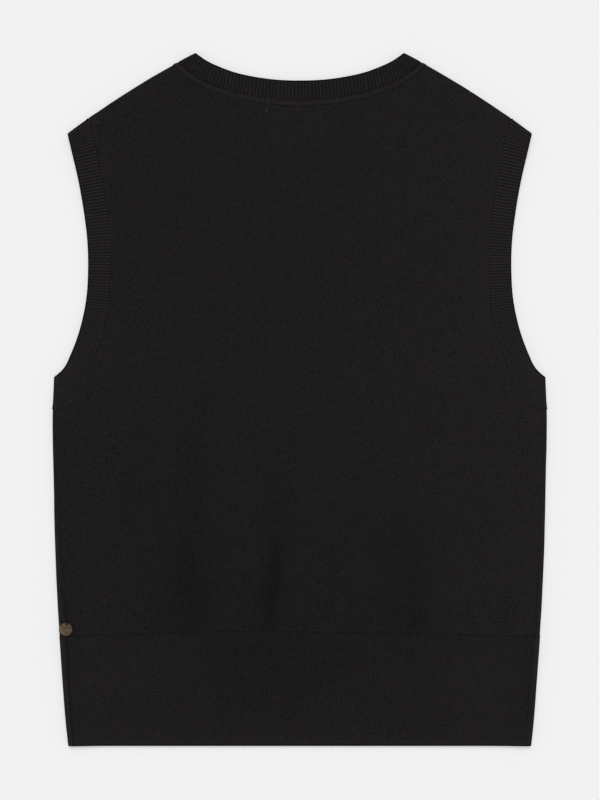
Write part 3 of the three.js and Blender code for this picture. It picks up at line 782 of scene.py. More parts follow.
def band_ring(edges, links, ribs, rows, heights, stitches, contrast, spread, armhole=False):
    """A band round an opening: over the back, round a fold and back underneath. Rows give
    the share across from the open edge, then the shares of rib, ridge and stitch relief. The
    heights are those of a rib and of the ridge, and the spread gives the share of the open
    edge that each share of the linking line goes to. Round an armhole the ribs crowd together
    towards the underarm and are worn plain in its corner."""
    rib_height, ridge_height = heights
    per_rib = 8
    tables = [np.array([(row[0], row[k]) for row in rows], float) for k in (1, 2, 3)]
    across = np.array([row[0] for row in rows])

    def line(layer, shares, at):
        flat_edge = edges[layer].at(spread(layer, shares))
        flat_link = links[layer].at(shares)
        return flat_edge * (1 - at) + flat_link * at

    back_count = ribs[1] * per_rib
    front_count = ribs[-1] * per_rib
    back_shares = np.arange(back_count + 1) / back_count
    front_shares = 1 - np.arange(1, front_count) / front_count
    if armhole:
        back_shares, front_shares = rib_places(back_shares), rib_places(front_shares)
    phase = np.concatenate([np.arange(back_count + 1), np.arange(1, front_count)]) / per_rib
    layers = np.concatenate([np.ones(back_count + 1), -np.ones(front_count - 1)])
    all_shares = np.concatenate([back_shares, front_shares])
    limit = np.interp(all_shares, *np.array(PLAIN_CORNER).T) if armhole else all_shares - 9
    loose = ease(0.72, 0.9, all_shares) if armhole else 0 * all_shares
    grids, flats, tones = [], [], []
    for at in across:
        rib, ridge, stitch = (np.interp(at, t[:, 0], t[:, 1]) for t in tables)
        flat = np.vstack([line(1, back_shares, at), line(-1, front_shares, at)])
        crowded = 1 - ease(limit - 0.09, limit + 0.09, at)
        open_ribs = 1 - 0.92 * crowded
        up = np.empty(len(flat))
        row = np.empty((len(flat), 3))
        for layer in (1, -1):
            mine = layers == layer
            up[mine] = on_back(lay(flat[mine, 0], flat[mine, 1], layer))
            wave = rib * (rib_wave(phase[mine]) - 1 + up[mine]) * open_ribs[mine]
            fine = stitch * (0.5 - 0.5 * np.cos(2 * math.pi * stitches * phase[mine]))
            lift = rib_height * wave + (ridge_height * ridge + fine) * up[mine]
            row[mine] = raised(flat[mine, 0], flat[mine, 1], layer, OUTER + lift)
        grids.append(row)
        worked = -np.cos(2 * math.pi * (stitches * phase + 6 * at))
        # Painted shade in the valleys between ribs and painted highlight on their crests
        crest = rib * (rib_wave(phase) - RIB_MEAN) * contrast * open_ribs
        # Painted shade along the open edge, then a row of painted light just inside it
        edge = np.interp(
            at,
            (0.0, 0.045, 0.08, 0.14, 0.24),
            (-EDGE_SHADE, -EDGE_SHADE, 0.1, 0.06, 0.0),
        )
        # Painted highlight on the linking ridge, weaker where the ribs are loose
        tone = crest + ridge * RIDGE_TONE * (1 - 0.75 * loose) + 1.8 * stitch * worked + edge
        # A painted lighter corner under the arm, and painted shade on the back where it turns down at a fold
        turned = np.where(layers > 0, outline_shade(flat[:, 0], flat[:, 1]), 0)
        tones.append(tone + CORNER_TONE * crowded - EDGE_SHADE * turned)
        width = np.linalg.norm(edges[1].at(0.5) - links[1].at(0.5))
        flats.append(np.stack([phase * 3.0, np.full(len(phase), at * width)], -1))
    inner = []
    for at in (0.0, 0.5, 1.0):
        back = station_shares(links[1].length, 6.0, 5)
        front = station_shares(links[-1].length, 6.0, 5)[::-1][1:-1]
        flat_back, flat_front = line(1, back, at), line(-1, front, at)
        sides = [
            raised(flat_back[:, 0], flat_back[:, 1], 1, np.full(len(back), -RIB_INNER)),
            raised(flat_front[:, 0], flat_front[:, 1], -1, np.full(len(front), -RIB_INNER)),
        ]
        inner.append(np.vstack(sides))
    points, faces = wall(np.array(grids), np.array(inner), True)
    inner_flat = np.zeros((inner[0].shape[0] * len(inner), 2))
    flat = np.vstack([*flats, inner_flat])
    tone = np.concatenate([*tones, np.zeros(len(inner_flat))])
    return points, faces, flat, tone


def fold_tone(x, y, layer):
    """Painted light and shade of the front cloth round a side fold: painted shade where it turns down, and
    painted light on the strip that lies on the back."""
    if layer > 0:
        return 0.0
    turn = (np.abs(x) - side_fold(y) + FOLD_RADIUS) / FOLD_RADIUS
    left, right = np.interp(y, (-140, -60), (1.0, 0.3)), np.interp(y, (-250, -200), (0.5, 1.0))
    strip = STRIP_TONE * np.where(x < 0, left, right) * ease(2.3, 2.7, turn) * (1 - ease(2.7, 4.4, turn))
    return strip - EDGE_SHADE * ease(0.7, 1.2, turn) * (1 - ease(2.1, 2.55, turn))


def hem_rib(layer, rib_height):
    """The hem rib of one layer, from the linking line down to its open edge."""
    per_rib = 8 if layer > 0 else 6

    def flat_half(y, hand):
        seam = seam_half(y, hand) - layer * SEAM_GAP / 2
        return seam if layer > 0 else over_side(seam, y)

    def flat_points(t, across):
        top = hem_line((2 * t - 1) * WIDEST) - SEAM_GAP / 2
        y = top * (1 - across) + HEM_EDGE * across
        return -flat_half(y, -1) * (1 - t) + flat_half(y, 1) * t, y

    whole = float(flat_half(HEM_JOIN, -1) + flat_half(HEM_JOIN, 1))
    ribs = HEM_RIBS if layer > 0 else round(HEM_RIBS * whole / 412)
    phase = np.arange(ribs * per_rib + 1) / per_rib
    shares = phase / ribs
    rib_table = ((0, 0.4), (0.008, 1.2), (0.05, 1.2), (0.2, 0.85), (0.45, 0.55), (1.0, 0.4))
    rows = (0, 0.005, 0.01, 0.016, 0.025, 0.04, 0.08, 0.15, 0.25, 0.36, 0.48, 0.6, 0.72, 0.84, 0.94)
    rows = (*rows, 0.965, 0.98, 0.99, 1)
    rib_at = np.array(rib_table, float)
    grid, flats, tones = [], [], []
    for across in rows:
        x, y = flat_points(shares, across)
        up = on_back(lay(x, y, layer))
        share = np.interp(across, rib_at[:, 0], rib_at[:, 1])
        sway = 0.75 + 0.25 * np.sin(shares * 23 + 3 * across) * np.sin(shares * 61 + 1.3)
        lift = rib_height * share * sway * (rib_wave(phase) - 1 + up)
        edge = 0.12 * (np.abs(across - 0.5) > 0.49)
        grid.append(raised(x, y, layer, OUTER + lift - edge * up))
        # Painted light towards the sides and the bottom of the hem, painted shade and light streaks, and the
        # fold's painted light and shade
        painted_shading_and_tone = 0.07 * ease(70, 205, np.abs(x)) + 0.08 * ease(-286, -306, y)
        painted_shading_and_tone = painted_shading_and_tone - trough_depth(HEM_PAINTED_STREAKS, x, y) + fold_tone(x, y, layer)
        to_seam = np.where(x < 0, flat_half(y, -1), flat_half(y, 1)) - np.abs(x)
        # Painted shade at the side seams and the disc's painted shadow
        painted_shading_and_tone = painted_shading_and_tone - seam_shade(x, y, to_seam) - disc_shadow(x, y)
        # Painted shade in dots between the ribs and in a line where the hem is linked on
        dots = 0.6 * (1 - rib_wave(phase)) * (1 - ease(0.01, 0.02, across))
        painted_shading_and_tone = painted_shading_and_tone - dots - 0.1 * (1 - ease(0.008, 0.014, across))
        # A painted light row near the open edge, then painted shade along the edge itself
        painted_shading_and_tone = painted_shading_and_tone + np.interp(across, (0.94, 0.965, 0.98, 0.99, 1.0), (0, 0.08, 0.08, -0.4, -0.45))
        # Painted shade in the rib valleys and painted highlight on the crests
        tones.append(painted_shading_and_tone + share * sway * (rib_wave(phase) - RIB_MEAN) * HEM_CONTRAST)
        flats.append(np.stack([x, y], -1))
    inner, inner_flats = [], []
    coarse = shares[::per_rib]
    for across in (0, 0.5, 1):
        x, y = flat_points(coarse, across)
        inner.append(raised(x, y, layer, np.full(len(x), -RIB_INNER)))
        inner_flats.append(np.stack([x, y], -1))
    grid, inner = np.array(grid), np.array(inner)
    points, faces = wall(grid, inner, False)
    flat = np.vstack([*flats, *inner_flats])
    tone = np.concatenate([*tones, np.zeros(len(flat) - grid.shape[0] * grid.shape[1])])
    return points, faces, flat, tone


def side_seam(layer, hand, top_y):
    """Side seam of a panel as half widths, from the hem line up to the armhole."""
    bottom = HEM_JOIN + SEAM_GAP / 2
    y = np.linspace(bottom, top_y, round((top_y - bottom) / EDGE_STEP) + 1)
    half = seam_half(y, hand) - layer * SEAM_GAP / 2
    return np.stack([half if layer > 0 else over_side(half, y), y], -1)


def side_roll(y):
    """Half widths of the front cloth where it rolls over a side fold, at one height."""
    t = np.linspace(0, 1, 2 * ROLL_COUNT + 1)
    start = float(side_fold(y)) - FOLD_RADIUS
    return np.stack([start + 2 * QUARTER * t, np.full(len(t), y)], -1)


def armhole_line(layer, hand):
    """Armhole line of a panel on one side, from the side seam up to the shoulder."""
    shares = station_shares(ARM_LINK_CURVE.length, EDGE_STEP, ROLL_COUNT)
    line = ARM_LINK_CURVE.offset(shares, -SEAM_GAP)[1:][::-1]
    top_y = ARM_LINK_END - SEAM_GAP
    limit = seam_half(top_y, hand) if layer > 0 else side_fold(top_y) - FOLD_RADIUS
    kept = line[line[:, 0] < float(limit) - EDGE_STEP / 2]
    return kept if layer > 0 else np.vstack([side_roll(top_y)[::-1], kept])


def shoulder_row(inset):
    """Points along a shoulder seam, moved in from it by a distance."""
    start, end = ARM_LINK_TOP - SEAM_GAP, NECK_LINK_TOP + SEAM_GAP
    half = np.linspace(start, end, round((start - end) / EDGE_STEP) + 1)
    y = shoulder_flat(half, SEAM_GAP / 2)
    away = np.hypot(half - SHOULDER_X, y - SHOULDER_Y)
    reach = (away - inset) / away
    return np.stack(
        [SHOULDER_X + (half - SHOULDER_X) * reach, SHOULDER_Y + (y - SHOULDER_Y) * reach],
        -1,
    )


def panel_outline(layer):
    """Flat outline of a panel, anticlockwise from the left end of the hem line."""

    def half(hand):
        seam = side_seam(layer, hand, ARM_LINK_END - SEAM_GAP)
        return np.vstack([seam, armhole_line(layer, hand), shoulder_row(0)])

    link = NECK_LINK_CURVES[layer]
    shares = station_shares(link.length, EDGE_STEP, ROLL_COUNT)
    neck = link.offset(shares, -SEAM_GAP)[1:-1][::-1]
    right = half(1)
    left = (half(-1) * (-1, 1))[::-1]
    x = np.linspace(left[-1, 0], right[0, 0], round(2 * WIDEST / EDGE_STEP) + 1)[1:-1]
    if layer > 0:
        hem = np.stack([x, hem_line(x) + SEAM_GAP / 2], -1)
        return np.vstack([hem, right, neck, left])
    roll = side_roll(HEM_JOIN + SEAM_GAP / 2)
    x = x[np.abs(x) < roll[0, 0] - EDGE_STEP / 2]
    hem = np.stack([x, hem_line(x) + SEAM_GAP / 2], -1)
    return np.vstack([(roll * (-1, 1))[::-1], hem, roll, right, neck, left])


def inside(outline, points):
    """Whether points lie inside a closed outline."""
    a = outline
    b = np.roll(outline, -1, axis=0)
    held = np.zeros(len(points), bool)
    for (ax, ay), (bx, by) in zip(a, b):
        if ay == by:
            continue
        crosses = (ay > points[:, 1]) != (by > points[:, 1])
        held ^= crosses & (points[:, 0] < ax + (bx - ax) * (points[:, 1] - ay) / (by - ay))
    return held


def clear_of(tree_points, points, distance):
    """The points that are farther than a distance from every tree point."""
    tree = kdtree.KDTree(len(tree_points))
    for k, (x, y) in enumerate(tree_points):
        tree.insert((x, y, 0), k)
    tree.balance()
    far = [tree.find((x, y, 0))[2] > distance for x, y in points]
    return points[np.array(far, bool)]


def curve_distance(curve, x, y):
    """Distance of points from a flat curve."""
    line = curve.at(np.linspace(0, 1, 160))
    best = np.full(np.shape(x), 1e9)
    for px, py in line:
        best = np.minimum(best, (x - px) ** 2 + (y - py) ** 2)
    return np.sqrt(best)


def jersey_relief(x, y, layer):
    """Low forms of a panel's face: turned-in allowances, the plain tab sewn inside the back
    neck, and the slight unevenness of knit cloth."""
    allowance = curve_distance(ARM_LINK_CURVE, np.abs(x), y)
    relief = 0.22 * (1 - ease(3.4, 5.2, allowance)) * ease(-8, 12, y)
    uneven = np.zeros(np.shape(x))
    for turn, length, start in ((0.3, 61, 0.4), (1.9, 43, 2.1), (2.6, 33, 4.0), (1.2, 27, 1.1)):
        way = x * math.cos(turn) + y * math.sin(turn)
        uneven += np.sin(2 * math.pi * way / length + start + 0.6 * np.sin(x / 31 + turn))
    if layer < 0:
        return -0.02 * (uneven + 4)
    tab = ease(-31.5, -28.0, x) * (1 - ease(34.0, 37.5, x)) * ease(222.5, 226, y)
    return relief + 0.16 * tab + 0.045 * uneven


def jersey_painted_light_and_shade(x, y):
    """Painted light and shade over the back panel: lighter towards the right, along its side and shoulder
    folds, beside the armholes and over the tab, and darker along the painted shade streaks, at the fold
    outlines, round the disc and at the underarm creases."""
    half = np.abs(x)
    to_side = side_fold(y) - half
    side = np.where(
        x < 0,
        0.07 * np.exp(-((to_side / 9) ** 2)),
        0.09 * np.exp(-((to_side / 14) ** 2)),
    )
    away = SHOULDER_RADIUS - np.hypot(half - SHOULDER_X, y - SHOULDER_Y)
    shoulder = 0.07 * np.exp(-((away / 9) ** 2))
    armhole = curve_distance(ARM_LINK_CURVE, half, y)
    beside = 0.05 * np.exp(-((armhole - 4.6) ** 2) / 1.2) + 0.04 * np.exp(-((armhole / 12) ** 2))
    tab = ease(-30.5, -28.5, x) * (1 - ease(34.5, 36.5, x)) * ease(223.5, 225.5, y)
    # Painted light that grows towards the right side of the vest
    across = 0.1 * ease(-30, 235, x)
    lit = across + side * ease(12, -10, y) + shoulder + beside + 0.05 * tab
    lit = lit - EDGE_SHADE * outline_shade(x, y) - disc_shadow(x, y)
    return lit - trough_depth(PAINTED_STREAKS, x, y) - trough_depth(UNDERARM_CREASE_SHADING, x, y)


def panel_seam(y, hand, layer):
    """Flat half width of a panel out to its side seam."""
    half = seam_half(y, hand) - layer * SEAM_GAP / 2
    return half if layer > 0 else over_side(half, y)


def open_wales(x, y):
    """How far the wales show as lines, beside the tab under the neckband."""
    away = curve_distance(NECK_LINK_CURVES[1], x, y)
    tab = ease(-31, -28, x) * (1 - ease(34, 37, x))
    beside = 0.3 * np.exp(-(((x + 33.5) / 5) ** 2) - ((y - 254) / 5) ** 2)
    lines = 0.22 * np.exp(-((away / 9) ** 2)) * (1 - ease(60, 100, np.abs(x)))
    return (lines + beside) * (1 - 0.8 * tab)


def panel(layer, step):
    """Points, faces and flat places of a jersey panel."""
    outline = panel_outline(layer)
    rows = [shoulder_row(QUARTER * k / ROLL_COUNT)[1:-1] for k in range(1, ROLL_COUNT + 2)]
    if layer < 0:
        for y in side_seam(-1, 1, ARM_LINK_END - SEAM_GAP)[1:-1, 1]:
            rows.append(side_roll(y))
    rows = [*rows, *(row * (-1, 1) for row in rows)]
    for hand in (-1, 1):
        seam = side_seam(layer, hand, ARM_LINK_END - SEAM_GAP)[1:-1]
        rows.append((seam - (0.9, 0)) * (hand, 1))
        if layer > 0:
            spot = np.stack(np.meshgrid(np.arange(178, 199, 1.1), np.arange(-6, 19, 1.2)), -1)
            rows.append(spot.reshape(-1, 2) * (hand, 1))
    chosen = np.vstack(rows)
    chosen = chosen[inside(outline, chosen)]
    chosen = clear_of(outline, chosen, 0.35)
    grid_y = np.arange(HEM_EDGE, -HEM_EDGE, step * 0.866)
    grid = []
    for k, y in enumerate(grid_y):
        x = np.arange(-WIDEST, WIDEST, step) + (k % 2) * step / 2
        grid.append(np.stack([x, np.full(len(x), y)], -1))
    grid = np.vstack(grid)
    grid = grid[inside(outline, grid)]
    grid = clear_of(np.vstack([outline, chosen]), grid, 0.55 * step)
    flat = np.vstack([outline, chosen, grid])
    straight = flat[:, 0] * WIDEST / side_fold(flat[:, 1])
    coords = [Vector((x, y)) for x, y in zip(straight, flat[:, 1])]
    ring = list(range(len(outline)))
    verts, _, faces, *_ = geometry.delaunay_2d_cdt(coords, [], [ring], 1, 1e-4)
    y = np.array([v.y for v in verts])
    x = np.array([v.x for v in verts]) * side_fold(y) / WIDEST
    faces = [tuple(face) for face in faces]
    if layer < 0:
        faces = [face[::-1] for face in faces]
    sheet = len(x)
    seam_half_flat = np.where(x < 0, panel_seam(y, -1, layer), panel_seam(y, 1, layer))
    to_seam = seam_half_flat - np.abs(x)
    below = ease(ARM_LINK_END, ARM_LINK_END - 6, y)
    at_seam = (1 - ease(0.0, 0.85, to_seam)) * below
    outer = raised(x, y, layer, OUTER + jersey_relief(x, y, layer) - 0.2 * at_seam)
    inner = raised(x, y, layer, np.full(sheet, OUTER - JERSEY_WALL))
    every = faces + [tuple(k + sheet for k in face[::-1]) for face in faces]
    edges = {(face[k], face[(k + 1) % len(face)]) for face in faces for k in range(len(face))}
    for a, b in edges:
        if (b, a) not in edges:
            every.append((b, a, a + sheet, b + sheet))
    flat = np.stack([x, y], -1)
    tone = jersey_painted_light_and_shade(x, y) if layer > 0 else fold_tone(x, y, layer) * ease(-2, -9, y)
    tone = tone - seam_shade(x, y, to_seam) * below
    return np.vstack([outer, inner]), every, np.vstack([flat, flat]), np.tile(tone, 2)


def add_node(tree, kind, inputs=None, **settings):
    """Adds a node with its settings; an input takes a value or another node's output."""
    made = tree.nodes.new(kind)
    for name, value in settings.items():
        setattr(made, name, value)
    for name, value in (inputs or {}).items():
        if isinstance(value, bpy.types.NodeSocket):
            tree.links.new(value, made.inputs[name])
        else:
            made.inputs[name].default_value = value
    return made


def start_material(name):
    material = bpy.data.materials.new(name)
    material.use_nodes = True
    material.node_tree.nodes.clear()
    return material, material.node_tree


def finish_material(tree, colour, roughness, bump, **surface):
    """Principled surface with its constants set straight on the shader."""
    inputs = {"Base Color": colour, "Roughness": roughness, "Normal": bump}
    shader = add_node(tree, "ShaderNodeBsdfPrincipled", {**inputs, **surface})
    add_node(tree, "ShaderNodeOutputMaterial", {"Surface": shader.outputs[0]})
    return shader


def yarn_surface(tree, colours, height, distance, roughness=0.9, grain_tone=0.65, wales=None):
    """Matt spun yarn: the stitch height drives bump and painted shade between stitches, the
    Tone of the mesh adds painted light and shade of ribs, edges, folds and streaks along with the yarn's own
    tone, and fine lint gives the heathered grain."""
    straight = add_node(tree, "ShaderNodeTexCoord").outputs["Object"]
    turned = add_node(
        tree,
        "ShaderNodeMapping",
        {"Vector": straight, "Rotation": GRAIN_TURN},
    )
    place = turned.outputs[0]
    painted_shading_and_tone = add_node(tree, "ShaderNodeAttribute", attribute_name="Tone").outputs["Fac"]
    patches = add_node(tree, "ShaderNodeTexNoise", {"Vector": place, "Scale": 45.0, "Detail": 4.0})
    fuzz = add_node(
        tree,
        "ShaderNodeTexNoise",
        {"Vector": place, "Scale": 1400.0, "Detail": 1.0, "Roughness": 0.6},
    )
    lint = add_node(tree, "ShaderNodeTexNoise", {"Vector": place, "Scale": 600.0, "Detail": 0.0})
    mixed = add_node(tree, "ShaderNodeTexNoise", {"Vector": place, "Scale": 780.0, "Detail": 0.0})
    rows = (
        (patches.outputs[0], 0.35, 0.65, -0.008, 0.008),
        (fuzz.outputs[0], 0.3, 0.7, -grain_tone, grain_tone),
        (lint.outputs[0], 0.8, 0.86, 0.0, 0.5),
        # The stitch height paints shade down between the stitches
        (height, 0.2, 0.8, -0.05, 0.05),
    )
    tone = add_node(tree, "ShaderNodeMath", {0: painted_shading_and_tone, 1: YARN_TONE}, operation="ADD")
    if wales:
        tone = add_node(tree, "ShaderNodeMath", {0: tone.outputs[0], 1: wales}, operation="ADD")
    for source, low, high, least, most in rows:
        part = add_node(
            tree,
            "ShaderNodeMapRange",
            {"Value": source, "From Min": low, "From Max": high, "To Min": least, "To Max": most},
        )
        tone = add_node(
            tree,
            "ShaderNodeMath",
            {0: tone.outputs[0], 1: part.outputs[0]},
            operation="ADD",
        )
    tone = add_node(tree, "ShaderNodeMath", {0: tone.outputs[0], 1: 0.0}, operation="MAXIMUM")
    share = add_node(
        tree,
        "ShaderNodeMapRange",
        {"Value": mixed.outputs[0], "From Min": 0.3, "From Max": 0.7},
    )
    fibre = add_node(
        tree,
        "ShaderNodeMix",
        {0: share.outputs[0], 6: (*colours.yarn, 1), 7: (*colours.fleck, 1)},
        data_type="RGBA",
    )
    colour = add_node(
        tree,
        "ShaderNodeMix",
        {0: tone.outputs[0], 6: (*colours.shade, 1), 7: fibre.outputs[2]},
        data_type="RGBA",
        clamp_factor=False,
    )
    grain = add_node(
        tree,
        "ShaderNodeMath",
        {0: fuzz.outputs[0], 1: 0.35, 2: height},
        operation="MULTIPLY_ADD",
    )
    bump = add_node(
        tree,
        "ShaderNodeBump",
        {"Strength": 0.45, "Distance": distance * MM, "Height": grain.outputs[0]},
    )
    finish_material(
        tree,
        colour.outputs[2],
        roughness,
        bump.outputs[0],
        **{
            "Specular IOR Level": 0.09,
            "Sheen Weight": 0.03,
            "Sheen Roughness": 0.6,
            "Sheen Tint": (0.8, 0.72, 0.7, 1),
        },
    )


def stitch_height(tree, wale, course):
    """Height of jersey stitches from the flat map: each wale has two legs that slope up to
    its middle, course by course."""
    flat = add_node(tree, "ShaderNodeUVMap", uv_map="FlatCloth").outputs[0]
    parts = add_node(tree, "ShaderNodeSeparateXYZ", {0: flat})
    across = add_node(
        tree,
        "ShaderNodeMath",
        {0: parts.outputs[0], 1: 1 / (wale * MM)},
        operation="MULTIPLY",
    )
    share = add_node(tree, "ShaderNodeMath", {0: across.outputs[0]}, operation="FRACT")
    middle = add_node(tree, "ShaderNodeMath", {0: share.outputs[0], 1: 0.5}, operation="SUBTRACT")
    off = add_node(tree, "ShaderNodeMath", {0: middle.outputs[0]}, operation="ABSOLUTE")
    along = add_node(
        tree,
        "ShaderNodeMath",
        {0: parts.outputs[1], 1: 1 / (course * MM)},
        operation="MULTIPLY",
    )
    sloped = add_node(
        tree,
        "ShaderNodeMath",
        {0: off.outputs[0], 1: -1.7, 2: along.outputs[0]},
        operation="MULTIPLY_ADD",
    )
    turn = add_node(
        tree,
        "ShaderNodeMath",
        {0: sloped.outputs[0], 1: 2 * math.pi},
        operation="MULTIPLY",
    )
    wave = add_node(tree, "ShaderNodeMath", {0: turn.outputs[0]}, operation="COSINE")
    rows = add_node(
        tree,
        "ShaderNodeMath",
        {0: wave.outputs[0], 1: 0.22, 2: 0.62},
        operation="MULTIPLY_ADD",
    )
    leg_turn = add_node(
        tree,
        "ShaderNodeMath",
        {0: off.outputs[0], 1: 2 * math.pi},
        operation="MULTIPLY",
    )
    leg = add_node(tree, "ShaderNodeMath", {0: leg_turn.outputs[0]}, operation="SINE")
    both = add_node(
        tree,
        "ShaderNodeMath",
        {0: leg.outputs[0], 1: rows.outputs[0]},
        operation="MULTIPLY",
    )
    raised_leg = add_node(
        tree,
        "ShaderNodeMath",
        {0: both.outputs[0], 1: 0.5, 2: 0.42},
        operation="MULTIPLY_ADD",
    )
    return raised_leg.outputs[0]


def jersey_material(colours, cloth):
    """Fine-gauge viscose and nylon jersey, knitted and pressed: matt black with a very low
    sheen, its wales 1.75 mm apart, which is just wide enough to show as a fine grain."""
    material, tree = start_material("Fine gauge jersey")
    height = stitch_height(tree, cloth.wale, cloth.course)
    flat = add_node(tree, "ShaderNodeUVMap", uv_map="FlatCloth").outputs[0]
    parts = add_node(tree, "ShaderNodeSeparateXYZ", {0: flat})
    per_wale = 2 * math.pi / (2.1 * MM)
    turn = add_node(
        tree,
        "ShaderNodeMath",
        {0: parts.outputs[0], 1: per_wale},
        operation="MULTIPLY",
    )
    wave = add_node(tree, "ShaderNodeMath", {0: turn.outputs[0]}, operation="SINE")
    opened = add_node(tree, "ShaderNodeAttribute", attribute_name="OpenWales").outputs["Fac"]
    wales = add_node(tree, "ShaderNodeMath", {0: wave.outputs[0], 1: opened}, operation="MULTIPLY")
    yarn_surface(tree, colours, height, 0.3, grain_tone=0.8, wales=wales.outputs[0])
    return material


def rib_material(colours, name, gauge, course):
    """1x1 rib knitted on the same yarn: the ribs stand in the mesh, and the courses on each
    rib show as fine rows across it."""
    material, tree = start_material(name)
    height = stitch_height(tree, gauge, course)
    yarn_surface(tree, colours, height, 0.22)
    return material


def thread_material(colours):
    """Three-ply linking and sewing yarn, twisted tight, so a little smoother than the knit."""
    material, tree = start_material("Twisted linking yarn")
    place = add_node(tree, "ShaderNodeTexCoord").outputs["Object"]
    plies = add_node(
        tree,
        "ShaderNodeTexWave",
        {"Vector": place, "Scale": 420.0, "Distortion": 1.5, "Detail": 1.0},
        bands_direction="DIAGONAL",
    )
    yarn_surface(tree, colours, plies.outputs[0], 0.12, 0.75)
    return material


def brass_material(colours):
    """Antique brass: cast, lightly hammered, dipped in a brown patina and rubbed back, so it
    is dark in its low places, with a painted coppery highlight along its left side."""
    material, tree = start_material("Antique brass")
    place = add_node(tree, "ShaderNodeTexCoord").outputs["Object"]
    dents = add_node(
        tree,
        "ShaderNodeTexVoronoi",
        {"Vector": place, "Scale": 700.0, "Smoothness": 0.6},
        feature="SMOOTH_F1",
    )
    patches = add_node(tree, "ShaderNodeTexNoise", {"Vector": place, "Scale": 330.0, "Detail": 4.0})
    specks = add_node(tree, "ShaderNodeTexNoise", {"Vector": place, "Scale": 2600.0, "Detail": 2.0})
    rubbed = add_node(
        tree,
        "ShaderNodeMath",
        {0: patches.outputs[0], 1: dents.outputs[0]},
        operation="ADD",
    )
    tone = add_node(
        tree,
        "ShaderNodeMapRange",
        {"Value": rubbed.outputs[0], "From Min": 0.55, "From Max": 1.1},
    )
    colour = add_node(
        tree,
        "ShaderNodeMix",
        {0: tone.outputs[0], 6: (*colours.patina, 1), 7: (*colours.brass, 1)},
        data_type="RGBA",
    )
    parts = add_node(tree, "ShaderNodeSeparateXYZ", {0: place})
    # A painted coppery highlight along the disc's left side
    highlight_from, highlight_to = (DISC_LOW.x + 0.6) * MM, (DISC_LOW.x + 3.2) * MM
    highlight_side = add_node(
        tree,
        "ShaderNodeMapRange",
        {"Value": parts.outputs[0], "From Min": highlight_from, "From Max": highlight_to, "To Min": 0.8, "To Max": 0.0},
    )
    colour = add_node(
        tree,
        "ShaderNodeMix",
        {0: highlight_side.outputs[0], 6: colour.outputs[2], 7: (*srgb("6a4a35"), 1)},
        data_type="RGBA",
    )
    reach = add_node(
        tree,
        "ShaderNodeVectorMath",
        {0: place, 1: tuple(DISC_CENTRE * MM)},
        operation="DISTANCE",
    )
    at_rim = add_node(
        tree,
        "ShaderNodeMapRange",
        {
            "Value": reach.outputs["Value"],
            "From Min": (DISC_RADIUS - 1.1) * MM,
            "From Max": (DISC_RADIUS - 0.1) * MM,
            "To Max": 0.85,
        },
    )
    colour = add_node(
        tree,
        "ShaderNodeMix",
        {0: at_rim.outputs[0], 6: colour.outputs[2], 7: (*colours.patina, 1)},
        data_type="RGBA",
    )
    rough = add_node(
        tree,
        "ShaderNodeMapRange",
        {"Value": specks.outputs[0], "From Min": 0.3, "From Max": 0.7, "To Min": 0.42, "To Max": 0.62},
    )
    height = add_node(
        tree,
        "ShaderNodeMath",
        {0: specks.outputs[0], 1: 0.15, 2: dents.outputs[0]},
        operation="MULTIPLY_ADD",
    )
    bump = add_node(
        tree,
        "ShaderNodeBump",
        {"Strength": 0.5, "Distance": 0.25 * MM, "Height": height.outputs[0]},
    )
    finish_material(tree, colour.outputs[2], rough.outputs[0], bump.outputs[0], **{"Metallic": 0.9})
    return material


def floor_material(colour):
    """Smooth matt card, without a grain that the camera could see."""
    material, tree = start_material("Matt pale card")
    place = add_node(tree, "ShaderNodeTexCoord").outputs["Object"]
    fibres = add_node(tree, "ShaderNodeTexNoise", {"Vector": place, "Scale": 1500.0, "Detail": 2.0})
    bump = add_node(
        tree,
        "ShaderNodeBump",
        {"Strength": 0.05, "Distance": 0.05 * MM, "Height": fibres.outputs[0]},
    )
    finish_material(tree, (*colour, 1), 0.95, bump.outputs[0], **{"Specular IOR Level": 0.1})
    return material


def made(name, build):
    """A material by its name, made only once."""
    return bpy.data.materials.get(name) or build()


def settings():
    scene = bpy.context.scene
    return scene.vest_cloth, scene.vest_ribs, scene.vest_colours, scene.vest_stage


def lay_sheet(piece, node, flat):
    """Ties a cloth piece to the vest and hides the frame's part in its place; the size it is cut or knitted
    to is not used.
    """
    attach(piece, "vest")
    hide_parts(node)


def band_cut(edges, links):
    """Length round a band, half way across it, and its width, in metres."""
    curves = [*edges.values(), *links.values()]
    width = np.linalg.norm(edges[1].at(0.5) - links[1].at(0.5))
    return sum(curve.length for curve in curves) / 2 * MM, width * MM


def bead_shape():
    """Points and faces of one small round stitch of unit radius."""
    bm = bmesh.new()
    bmesh.ops.create_icosphere(bm, subdivisions=2, radius=1.0)
    bm.verts.ensure_lookup_table()
    points = np.array([v.co[:] for v in bm.verts])
    faces = [[v.index for v in face.verts] for face in bm.faces]
    bm.free()
    return points, faces


def strew_stitches(centres, runs, normals, sizes):
    """Points and faces of many small stitches, each long along its run and flattened
    towards the cloth. Sizes are half lengths, half widths and half heights."""
    shape, shape_faces = bead_shape()
    runs = runs / np.linalg.norm(runs, axis=1, keepdims=True)
    normals = normals - runs * (normals * runs).sum(1, keepdims=True)
    normals = normals / np.linalg.norm(normals, axis=1, keepdims=True)
    sides = np.cross(normals, runs)
    sizes = np.broadcast_to(sizes, (len(centres), 3))
    points, faces = [], []
    for k, centre in enumerate(centres):
        frame_axes = np.stack(
            [runs[k] * sizes[k, 0], sides[k] * sizes[k, 1], normals[k] * sizes[k, 2]],
        )
        points.append(shape @ frame_axes + centre)
        faces += [[corner + k * len(shape) for corner in face] for face in shape_faces]
    return np.vstack(points), faces


def cloth_frames(flat, layer, lift):
    """Places of stitches over cloth with the directions out of it."""
    x, y = flat[:, 0], flat[:, 1]
    base = raised(x, y, layer, np.zeros(len(x)))
    top = raised(x, y, layer, np.ones(len(x)))
    out = top - base
    return base + out * np.asarray(lift).reshape(-1, 1), out


